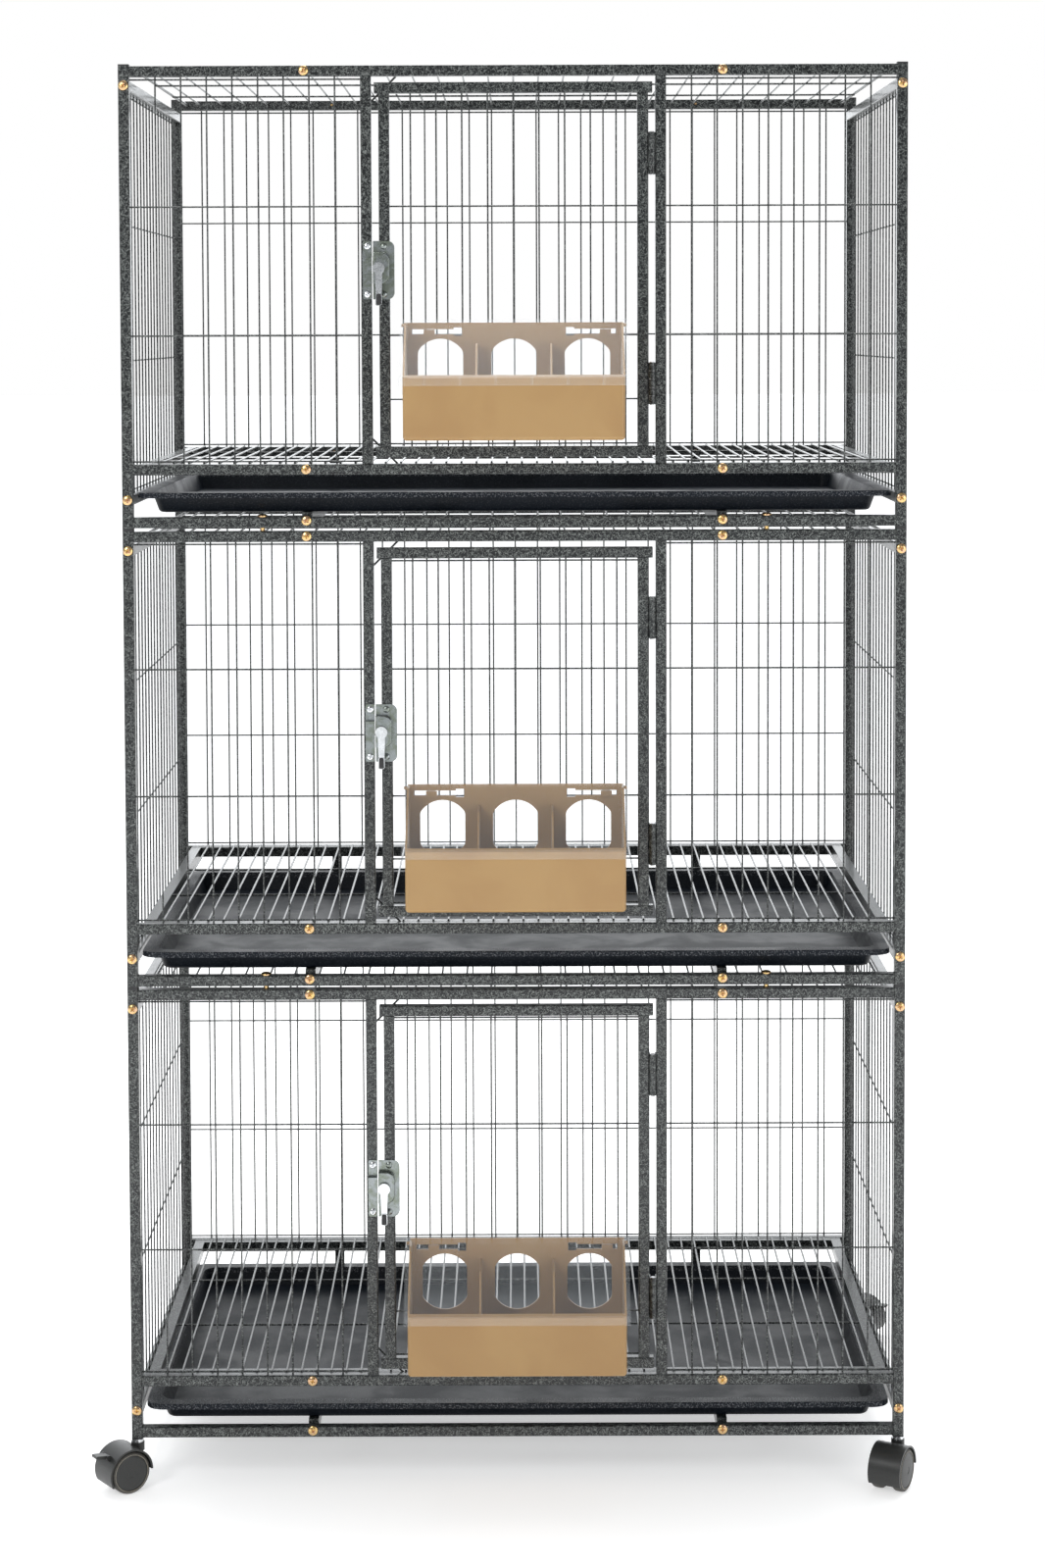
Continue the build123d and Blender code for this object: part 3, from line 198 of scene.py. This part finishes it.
def make_surround():
    """A backdrop that is white in every direction, but lights the cage from behind more than from
    the front, as a bright backdrop in a darker room does."""
    world = bpy.data.worlds.new("studio")
    world.use_nodes = True
    world.node_tree.nodes.clear()
    direction = add_node(world, "ShaderNodeTexCoord").outputs["Generated"]
    backward = add_node(world, "ShaderNodeSeparateXYZ", {0: direction}).outputs["Y"]
    back_share = add_node(world, "ShaderNodeMapRange", {"Value": backward, "From Min": -1.0}).outputs[0]
    curve = calculate(world, "POWER", back_share, FALLOFF)
    strengths = {"Value": curve, "To Min": FRONT_STRENGTH, "To Max": BACK_STRENGTH}
    strength = add_node(world, "ShaderNodeMapRange", strengths).outputs[0]
    tinted = {"Color": (0.95, 0.975, 1.0, 1.0), "Strength": strength}
    lighting = add_node(world, "ShaderNodeBackground", tinted).outputs[0]
    backdrop = add_node(world, "ShaderNodeBackground", {"Color": (1.0, 1.0, 1.0, 1.0)}).outputs[0]
    seen = add_node(world, "ShaderNodeLightPath").outputs["Is Camera Ray"]
    both = add_node(world, "ShaderNodeMixShader", {0: seen, 1: lighting, 2: backdrop}).outputs[0]
    add_node(world, "ShaderNodeOutputWorld", {"Surface": both})
    bpy.context.scene.world = world


def make_studio():
    """The surround, three soft lights and a pale floor that glows a little."""
    bpy.context.scene.view_settings.view_transform = "Standard"
    make_surround()
    for lamp in SOFTBOXES:
        softbox(**lamp)
    mesh = bpy.data.meshes.new("studio_floor")
    corners = [(x * FLOOR_REACH, y * FLOOR_REACH, 0) for x, y in ((-1, -1), (1, -1), (1, 1), (-1, 1))]
    mesh.from_pydata(corners, [], [(0, 1, 2, 3)])
    floor = bpy.data.objects.new("studio_floor", mesh)
    bpy.context.collection.objects.link(floor)
    pale, shader = new_material("pale_floor")
    shader.inputs["Base Color"].default_value = (FLOOR_ALBEDO, FLOOR_ALBEDO, FLOOR_ALBEDO, 1.0)
    shader.inputs["Roughness"].default_value = 0.8
    shader.inputs["Emission Color"].default_value = (1.0, 1.0, 1.0, 1.0)
    shader.inputs["Emission Strength"].default_value = FLOOR_GLOW
    floor.data.materials.append(pale)


# ==== the materials ====

TRAY_LIP = 6.4 * MM
# How far the roughness drifts below and above the given one, on moulded plastic and on plating.
GLOSS_DIP, GLOSS_RISE = 0.06, 0.08
RUB_DIP, RUB_RISE = 0.07, 0.12


def grain_plastic(name, dark, light, grain, roughness, relief):
    """Moulded plastic: two tones of a fine grain, cloudy gloss and a pebbled skin."""
    material, shader = new_material(name)
    fine = noise(material, grain, detail=3.0, roughness=0.6)
    tone = blend_color(material, remap(material, fine, 0.40, 0.62), dark, light)
    connect(material, tone, shader, "Base Color")
    cloud = noise(material, 14.0, detail=4.0, roughness=0.6)
    gloss = remap(material, cloud, 0.3, 0.7, roughness - GLOSS_DIP, roughness + GLOSS_RISE)
    connect(material, gloss, shader, "Roughness")
    add_bump(material, shader, fine, strength=0.5, distance=relief)
    return material


def plated_metal(name, first, second, patch, roughness):
    """Metal plating whose tint drifts over patches, with faint rubbing marks."""
    material, shader = new_material(name)
    shader.inputs["Metallic"].default_value = 1.0
    patches = noise(material, patch, detail=3.0, roughness=0.6, distortion=0.8)
    tint = blend_color(material, remap(material, patches, 0.35, 0.65), first, second)
    connect(material, tint, shader, "Base Color")
    marks = noise(material, 900.0, detail=4.0, roughness=0.7)
    gloss = remap(material, marks, 0.3, 0.75, roughness - RUB_DIP, roughness + RUB_RISE)
    connect(material, gloss, shader, "Roughness")
    add_bump(material, shader, marks, strength=0.12, distance=0.00008)
    return material


def vein_coat():
    """Powder coat with silver veins: crooked light lines on a near-black ground."""
    material, shader = new_material("vein_coat")
    wander = noise(material, 270.0, detail=1.5, distortion=0.9)
    from_line = calculate(material, "ABSOLUTE", calculate(material, "SUBTRACT", wander, 0.5))
    vein = remap(material, from_line, 0.012, 0.050, 1.0, 0.0)
    cloud = remap(material, noise(material, 9.0, detail=3.0), 0.3, 0.7)
    ground = blend_color(material, cloud, (0.004, 0.0055, 0.006), (0.008, 0.010, 0.011))
    connect(material, blend_color(material, vein, ground, (0.150, 0.162, 0.155)), shader, "Base Color")
    connect(material, remap(material, vein, 0.0, 1.0, 0.30, 0.46), shader, "Roughness")
    shader.inputs["Specular IOR Level"].default_value = 0.35
    shader.inputs["Coat Weight"].default_value = 0.35
    shader.inputs["Coat Roughness"].default_value = 0.16
    add_bump(material, shader, vein, strength=0.35, distance=0.0002)
    return material


def feeder_plastic():
    """Tan plastic with a soft gloss and slow drifts in its colour."""
    material, shader = new_material("feeder_plastic")
    flow = remap(material, noise(material, 11.0, detail=3.0, distortion=0.5), 0.3, 0.7)
    tan = blend_color(material, flow, (0.350, 0.205, 0.078), (0.390, 0.240, 0.094))
    connect(material, tan, shader, "Base Color")
    fine = noise(material, 1500.0)
    connect(material, remap(material, fine, 0.3, 0.7, 0.34, 0.44), shader, "Roughness")
    shader.inputs["Subsurface Weight"].default_value = 0.12
    shader.inputs["Subsurface Radius"].default_value = (0.004, 0.0025, 0.001)
    shader.inputs["Subsurface Scale"].default_value = 1.0
    add_bump(material, shader, fine, strength=0.15, distance=0.00005)
    return material


def tray_plastic():
    """Near-black blue plastic: smooth and cloudy, but pebbled on the lip, where the light specks in the
    colour are painted glints on the pebbles.
    """
    material, shader = new_material("tray_plastic")
    lip_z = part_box("lower_tray")[1].z - TRAY_LIP
    tier_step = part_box("middle_tray")[1].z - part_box("lower_tray")[1].z
    place = add_node(material, "ShaderNodeTexCoord").outputs["Object"]
    height = add_node(material, "ShaderNodeSeparateXYZ", {0: place}).outputs["Z"]
    above_lip = calculate(material, "SUBTRACT", height, lip_z)
    in_tier = calculate(material, "FLOORED_MODULO", above_lip, tier_step)
    lip = remap(material, in_tier, TRAY_LIP, TRAY_LIP * 1.3, 1.0, 0.12)
    # The lip's pebbles are a real bump; the same spots also lighten the colour, as painted glints.
    pebble_and_glint = remap(material, noise(material, 560.0, detail=3.0, roughness=0.6), 0.50, 0.66)
    pebble_and_glint_mask = calculate(material, "MULTIPLY", pebble_and_glint, lip)
    drift = noise(material, 13.0, detail=4.0, roughness=0.6, distortion=0.4)
    cloud = remap(material, drift, 0.3, 0.7)
    ground = blend_color(material, cloud, (0.0025, 0.0045, 0.0075), (0.006, 0.009, 0.014))
    # Light specks blended into the colour: painted glints on the pebbled lip.
    connect(material, blend_color(material, pebble_and_glint_mask, ground, (0.110, 0.115, 0.125)), shader, "Base Color")
    connect(material, remap(material, cloud, 0.0, 1.0, 0.34, 0.48), shader, "Roughness")
    shader.inputs["Specular IOR Level"].default_value = 0.15
    add_bump(material, shader, pebble_and_glint_mask, strength=0.5, distance=0.00016)
    return material


def clear_plastic(name, alpha, tint):
    """Clear plastic: mostly see-through, with a sharp gloss and faint scuffs."""
    material, shader = new_material(name)
    shader.inputs["Base Color"].default_value = (*tint, 1.0)
    shader.inputs["Alpha"].default_value = alpha
    shader.inputs["IOR"].default_value = 1.49
    scuff = noise(material, 120.0, detail=6.0, roughness=0.7)
    connect(material, remap(material, scuff, 0.45, 0.75, 0.05, 0.22), shader, "Roughness")
    add_bump(material, shader, noise(material, 25.0), strength=0.15, distance=0.0004)
    return material


MATERIALS = {
    "vein_coat": vein_coat(),
    "steel": plated_metal("steel", (0.46, 0.46, 0.47), (0.56, 0.56, 0.58),
                          patch=60.0, roughness=0.34),
    "zinc": plated_metal("zinc", (0.20, 0.225, 0.19), (0.30, 0.325, 0.33),
                         patch=90.0, roughness=0.30),
    "plated_steel": plated_metal("plated_steel", (0.62, 0.64, 0.65), (0.78, 0.80, 0.82),
                                 patch=80.0, roughness=0.20),
    "brass": plated_metal("brass", (0.74, 0.52, 0.20), (0.62, 0.40, 0.26),
                          patch=240.0, roughness=0.24),
    "black_plastic": grain_plastic("black_plastic", (0.012, 0.012, 0.013), (0.024, 0.024, 0.026),
                                   grain=1400.0, roughness=0.46, relief=0.00006),
    "caster_plastic": grain_plastic("caster_plastic", (0.020, 0.021, 0.020), (0.030, 0.031, 0.030),
                                    grain=1600.0, roughness=0.38, relief=0.00004),
    "caster_tread": grain_plastic("caster_tread", (0.040, 0.038, 0.033), (0.070, 0.065, 0.056),
                                  grain=900.0, roughness=0.58, relief=0.00008),
    "tray_plastic": tray_plastic(),
    "feeder_plastic": feeder_plastic(),
    "clear_plastic": clear_plastic("clear_plastic", alpha=0.07, tint=(0.80, 0.84, 0.87)),
}
# The covers' rounded edges: whiter and less see-through than the pane, a painted glare where the edges catch
# the light.
CLEAR_RIM_PAINTED_GLARE = clear_plastic("clear_plastic_rim_painted_glare", alpha=0.45, tint=(0.92, 0.95, 0.97))
WHEEL_RIM = grain_plastic("wheel_rim", (0.21, 0.19, 0.155), (0.30, 0.275, 0.225),
                          grain=900.0, roughness=0.50, relief=0.00006)


# ==== mesh building blocks ====

WELD = 2e-6
FLAT_ANGLE = 0.6
BEVEL_ANGLE = 32.0


def finish_piece(name, mesh, material, stands_for, body):
    """An object for a mesh, with its material, the CAD nodes it stands for and body."""
    piece = bpy.data.objects.new(name, mesh)
    bpy.context.collection.objects.link(piece)
    mesh.materials.append(material)
    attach(piece, body)
    if stands_for:
        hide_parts(*stands_for)
    return piece


def smooth_by_angle(mesh, degrees):
    for face in mesh.polygons:
        face.use_smooth = True
    mesh.set_sharp_from_angle(angle=math.radians(degrees))


def mesh_of(shape, name, degrees):
    """A mesh of a finished shape, with its faces outward, smooth up to an angle."""
    mesh = bpy.data.meshes.new(name)
    bmesh.ops.recalc_face_normals(shape, faces=shape.faces)
    shape.to_mesh(mesh)
    shape.free()
    smooth_by_angle(mesh, degrees)
    return mesh


def softened(node, name, edge, segments=2, edge_material=None):
    """A piece in the shape of a CAD node, with its sharp edges rounded. The rounded edges can have
    a material of their own."""
    shell = bmesh.new()
    shell.from_mesh(NODES[node].data)
    bmesh.ops.remove_doubles(shell, verts=shell.verts, dist=WELD)
    bmesh.ops.dissolve_limit(shell, angle_limit=math.radians(FLAT_ANGLE),
                             verts=shell.verts, edges=shell.edges)
    mesh = bpy.data.meshes.new(name)
    shell.to_mesh(mesh)
    shell.free()
    old_normals = mesh.attributes.get("custom_normal")
    if old_normals:
        mesh.attributes.remove(old_normals)
    smooth_by_angle(mesh, BEVEL_ANGLE)
    slot = SLOT_OF[node]
    piece = finish_piece(name, mesh, MATERIALS[slot], [node], BODY_OF[node])
    bevel = piece.modifiers.new("soft_edges", "BEVEL")
    bevel.width = edge
    bevel.segments = segments
    bevel.limit_method = "ANGLE"
    bevel.angle_limit = math.radians(BEVEL_ANGLE)
    bevel.use_clamp_overlap = True
    bevel.harden_normals = True
    if edge_material:
        mesh.materials.append(edge_material)
        bevel.material = 1
    return piece


def islands(node):
    """The (lowest, highest) corner of each separate solid of a CAD node."""
    solid = bmesh.new()
    solid.from_mesh(NODES[node].data)
    bmesh.ops.remove_doubles(solid, verts=solid.verts, dist=WELD)
    waiting = set(solid.verts)
    boxes = []
    while waiting:
        stack = [waiting.pop()]
        low, high = stack[0].co.copy(), stack[0].co.copy()
        while stack:
            vertex = stack.pop()
            low = Vector(map(min, low, vertex.co))
            high = Vector(map(max, high, vertex.co))
            for edge in vertex.link_edges:
                other = edge.other_vert(vertex)
                if other in waiting:
                    waiting.remove(other)
                    stack.append(other)
        boxes.append((low, high))
    solid.free()
    return sorted(boxes, key=lambda box: tuple(round(value, 5) for value in box[0]))


def add_ring(shape, place, radius, height, segments):
    """The vertices of a circle about the Z axis of place, or one vertex where the radius is 0."""
    turns = [2 * math.pi * i / segments for i in range(segments if radius else 1)]
    return [shape.verts.new(place @ Vector((radius * math.cos(a), radius * math.sin(a), height)))
            for a in turns]


def join_rings(shape, rings, segments):
    """Faces between each ring and the next. A ring of one vertex is a tip."""
    for lower, upper in zip(rings, rings[1:]):
        for i in range(segments):
            j = (i + 1) % segments
            corners = [lower[i % len(lower)], lower[j % len(lower)],
                       upper[j % len(upper)], upper[i % len(upper)]]
            shape.faces.new(list(dict.fromkeys(corners)))


def lathe(shape, profile, segments, place):
    """Adds a profile of (radius, height) points, turned about the Z axis of place."""
    rings = [add_ring(shape, place, radius, height, segments) for radius, height in profile]
    join_rings(shape, rings, segments)


def facing_matrix(point, axis):
    """Z of the result points along axis, and its origin is at point."""
    return Matrix.Translation(point) @ Vector(axis).to_track_quat("Z", "Y").to_matrix().to_4x4()


# ==== screws and bolts ====

HEAD_RINGS, HEAD_SEGMENTS = 13, 40
RING_CROWDING = 0.9
# Shares of a head's height: where the dome ends, where the rim ends and how deep the recess is.
DOME_FOOT, RIM_TOP, RECESS_DEPTH = 0.30, 0.22, 0.55
DOME_ROUNDNESS = 0.97
RIM_FOOT_RADIUS = 0.97
# The recess: shares of the head's radius, its sloping wall, and how much shallower its arms end.
RECESS_ARM, RECESS_WIDTH = 0.5, 0.13
RECESS_WALL, RECESS_RISE = 0.7, 0.45
# The head's share of the length of a large and of a small screw, and their shanks.
LARGE_HEAD, LARGE_SHANK = 3.0 / 21.0, 2.0 * MM
SMALL_HEAD, SMALL_SHANK = 2.0 / 8.0, 1.5 * MM
LARGE_OVER = 12.0 * MM
# Screws before this Y are driven from the front, the others from the back.
FRONT_BEFORE_Y = 20.0 * MM
SCREW_TURN, BOLT_TURN = 2.4, 1.9
BOLT_HEAD, BOLT_SHANK, BOLT_TIP = 3.5 * MM, 3.0 * MM, 1.0 * MM
BOLT_OVER = 10.0 * MM
NUT_RADIUS, NUT_EDGE = 5.6 * MM, 0.5 * MM


def cross_recess(x, y, arm, width, depth):
    """How far a cross-shaped recess goes down at (x, y)."""
    bars = [max(abs(a) - arm, abs(b) - width) for a, b in ((x, y), (y, x))]
    inside = max(0.0, min(1.0, -min(bars) / (width * RECESS_WALL)))
    return depth * inside * (1.0 - RECESS_RISE * math.hypot(x, y) / arm)


def screw_head(shape, place, radius, height):
    """Adds a domed head with a cross recess and a rolled rim, standing on the XY plane of place."""
    rings = []
    for k in range(HEAD_RINGS):
        r = radius * math.sin(k / (HEAD_RINGS - 1) * math.pi / 2) ** RING_CROWDING
        dome = math.sqrt(max(0.0, 1 - (r / radius) ** 2 * DOME_ROUNDNESS))
        z = height * (DOME_FOOT + (1 - DOME_FOOT) * dome)
        ring = add_ring(shape, Matrix(), r, z, HEAD_SEGMENTS)
        for vertex in ring:
            vertex.co.z -= cross_recess(vertex.co.x, vertex.co.y, radius * RECESS_ARM,
                                        radius * RECESS_WIDTH, height * RECESS_DEPTH)
            vertex.co = place @ vertex.co
        rings.append(ring)
    for r, z in ((radius, height * RIM_TOP), (radius * RIM_FOOT_RADIUS, 0.0), (0.0, 0.0)):
        rings.append(add_ring(shape, place, r, z, HEAD_SEGMENTS))
    join_rings(shape, rings, HEAD_SEGMENTS)


def frame_screws():
    """Every cross-recess screw of the frames and keepers, in the places of the CAD solids: large
    brass ones and small zinc ones."""
    shapes = {"brass": bmesh.new(), "zinc": bmesh.new()}
    for index, (low, high) in enumerate(islands("frame_screws")):
        middle = (low + high) / 2
        length, radius = high.y - low.y, (high.x - low.x) / 2
        if length > LARGE_OVER:
            shape, head, shank = shapes["brass"], length * LARGE_HEAD, LARGE_SHANK
        else:
            shape, head, shank = shapes["zinc"], length * SMALL_HEAD, SMALL_SHANK
        outward = -1 if middle.y < FRONT_BEFORE_Y else 1
        seat = low.y + head if outward < 0 else high.y - head
        place = facing_matrix((middle.x, seat, middle.z), (0, outward, 0))
        screw_head(shape, place @ Matrix.Rotation(index * SCREW_TURN, 4, "Z"), radius, head)
        tip = head - length
        lathe(shape, [(0, tip), (shank * 0.7, tip), (shank, tip + shank), (shank, 0), (0, 0)],
              segments=12, place=place)
    for slot, material, stands_for in (("brass", "brass", ["frame_screws"]),
                                       ("zinc", "plated_steel", [])):
        mesh = mesh_of(shapes[slot], f"{slot}_screws", degrees=35)
        finish_piece(f"{slot}_screws", mesh, MATERIALS[material], stands_for, "frame")


def stacking_bolts():
    """The bolts between the tiers, with cross-recess heads, and their hexagonal nuts."""
    shape = bmesh.new()
    for index, (low, high) in enumerate(islands("stacking_bolts")):
        middle = (low + high) / 2
        if high.z - low.z > BOLT_OVER:
            radius = (high.x - low.x) / 2
            place = Matrix.Translation((middle.x, middle.y, high.z - BOLT_HEAD))
            turned = place @ Matrix.Rotation(index * BOLT_TURN, 4, "Z")
            screw_head(shape, turned, radius, BOLT_HEAD)
            foot = low.z - high.z + BOLT_HEAD
            lathe(shape, [(0, foot), (BOLT_SHANK * 0.8, foot), (BOLT_SHANK, foot + BOLT_TIP),
                          (BOLT_SHANK, 0), (0, 0)], segments=16, place=place)
            continue
        nut = bmesh.ops.create_cone(shape, cap_ends=True, segments=6, radius1=NUT_RADIUS,
                                    radius2=NUT_RADIUS, depth=high.z - low.z,
                                    matrix=Matrix.Translation(middle))
        edges = dict.fromkeys(edge for vertex in nut["verts"] for edge in vertex.link_edges)
        bmesh.ops.bevel(shape, geom=list(edges), offset=NUT_EDGE, segments=2, affect="EDGES")
    mesh = mesh_of(shape, "tier_bolts_and_nuts", degrees=35)
    finish_piece("tier_bolts_and_nuts", mesh, MATERIALS["brass"], ["stacking_bolts"], "frame")


# ==== lever sleeves ====

SLEEVE_HALF_X, SLEEVE_HALF_Y, SLEEVE_LENGTH = 3.9 * MM, 2.05 * MM, 14.0 * MM
SLEEVE_IN, SLEEVE_BELOW = 2.1 * MM, 0.2 * MM
SLEEVE_SIDES = 32
# (share of the length, scale of the section) from the tip up.
SLEEVE_SECTIONS = ((0.0, 0.72), (0.05, 0.90), (0.14, 1.0), (0.80, 0.97), (0.95, 0.93), (1.0, 0.84))


def lever_sleeve(tier):
    """A dark moulded sleeve, oval in section, on the tip of a latch lever."""
    low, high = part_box(f"{tier}_latch_lever")
    tip = Vector(((low.x + high.x) / 2, low.y + SLEEVE_IN, low.z - SLEEVE_BELOW))
    shape = bmesh.new()
    rings = []
    for share, scale in SLEEVE_SECTIONS:
        ring = []
        for i in range(SLEEVE_SIDES):
            turn = 2 * math.pi * i / SLEEVE_SIDES
            x, y = (math.copysign(math.sqrt(abs(value)), value) * scale
                    for value in (math.cos(turn), math.sin(turn)))
            offset = Vector((x * SLEEVE_HALF_X, y * SLEEVE_HALF_Y, share * SLEEVE_LENGTH))
            ring.append(shape.verts.new(tip + offset))
        rings.append(ring)
    join_rings(shape, rings, SLEEVE_SIDES)
    shape.faces.new(rings[0])
    shape.faces.new(rings[-1])
    mesh = mesh_of(shape, f"{tier}_lever_sleeve", degrees=50)
    body = f"{tier}_latch_lever"
    finish_piece(f"{tier}_lever_sleeve", mesh, MATERIALS["black_plastic"], [], body)


# ==== caster wheels ====

WHEEL_RADIUS = 25.0 * MM
WHEEL_NEAR, WHEEL_FAR = 7.0 * MM, 19.6 * MM
WHEEL_SEGMENTS = 72
AXLE_RADIUS, AXLE_GRIP = 3.0 * MM, 1.0 * MM
BEAD_RADIUS = 0.45 * MM
BEAD_INSET, BEAD_BEFORE_FAR = 3.4 * MM, 0.35 * MM


def wheel_profiles():
    """The sections of a wheel's tread, cap and pale bead, as (radius, distance along the axle)."""
    radius, near, far = WHEEL_RADIUS, WHEEL_NEAR, WHEEL_FAR
    near_edge = [(3.4, 0.0), (1.6, 0.3), (0.4, 1.4), (0.0, 3.2)]
    far_edge = [(0.0, 3.6), (0.5, 1.6), (1.7, 0.5), (3.2, 0.2), (3.5, 1.0)]
    tread = [(radius - inset * MM, near + up * MM) for inset, up in near_edge]
    tread += [(radius - inset * MM, far - down * MM) for inset, down in far_edge]
    tread += [(radius - 3.5 * MM, near + 0.8 * MM), (radius - 3.4 * MM, near)]
    cap = [(3.05 * MM, near + 0.2 * MM), (radius - 3.6 * MM, near + 0.6 * MM)]
    cap += [(radius - inset * MM, far - down * MM) for inset, down in ((3.6, 1.2), (4.2, 0.6), (7.0, 0.1))]
    cap += [(r * MM, far + up * MM) for r, up in ((12.0, 0.25), (6.0, 0.4), (4.4, 0.4), (4.2, 0.1), (0, 0.1))]
    bead = [(radius - BEAD_INSET + math.cos(i * math.pi / 4) * BEAD_RADIUS,
             far - BEAD_BEFORE_FAR + math.sin(i * math.pi / 4) * BEAD_RADIUS) for i in range(9)]
    return tread, cap, bead


def caster_wheels(corner):
    """Two wheels on their axle: a rounded tread, a pale bead around the edge and a domed cap."""
    joint = JOINTS[f"{corner}_roll"]
    axle = Vector(joint["axis"])
    body = f"{corner}_wheels"
    shapes = [bmesh.new(), bmesh.new(), bmesh.new()]
    profiles = wheel_profiles()
    for side in (-1, 1):
        place = facing_matrix(joint["pos_m"], axle * side)
        for shape, profile in zip(shapes, profiles):
            lathe(shape, profile, WHEEL_SEGMENTS, place)
    tread, caps, rims = shapes
    end = WHEEL_NEAR + AXLE_GRIP
    lathe(caps, [(0, -end), (AXLE_RADIUS, -end), (AXLE_RADIUS, end), (0, end)],
          segments=24, place=facing_matrix(joint["pos_m"], axle))
    pieces = (("wheel_tread", tread, MATERIALS["caster_tread"], "caster_tread", [f"{corner}_caster_wheels"]),
              ("wheel_cap", caps, MATERIALS["caster_plastic"], "caster_plastic", []),
              ("wheel_rim", rims, WHEEL_RIM, "caster_tread", []))
    for kind, shape, material, slot, stands_for in pieces:
        bmesh.ops.remove_doubles(shape, verts=shape.verts, dist=1e-6)
        name = f"{corner}_{kind}"
        finish_piece(name, mesh_of(shape, name, degrees=40), material, stands_for, body)


make_camera()
make_studio()
for node, obj in NODES.items():
    for holder in obj.material_slots:
        holder.material = MATERIALS[SLOT_OF[node]]
frame_screws()
stacking_bolts()
for corner in CASTERS:
    caster_wheels(corner)
    softened(f"{corner}_caster_hood", f"{corner}_hood_shell", 0.8 * MM, segments=3)
for corner in CASTERS:
    if f"{corner}_brake_pedal" in NODES:
        softened(f"{corner}_brake_pedal", f"{corner}_brake_tab", 0.9 * MM, segments=3)
for tier in TIERS:
    softened(f"{tier}_feeder_tub", f"{tier}_feeder_moulding", 0.45 * MM)
    # the cover's rounded edges carry the painted glare
    softened(f"{tier}_feeder_cover", f"{tier}_clear_cover", 0.6 * MM, edge_material=CLEAR_RIM_PAINTED_GLARE)
    softened(f"{tier}_latch_case", f"{tier}_latch_plate", 0.35 * MM)
    softened(f"{tier}_latch_lever", f"{tier}_latch_arm", 0.6 * MM)
    lever_sleeve(tier)
softened("latch_keepers", "keeper_straps", 0.35 * MM)
softened("post_plugs", "post_caps", 0.5 * MM)
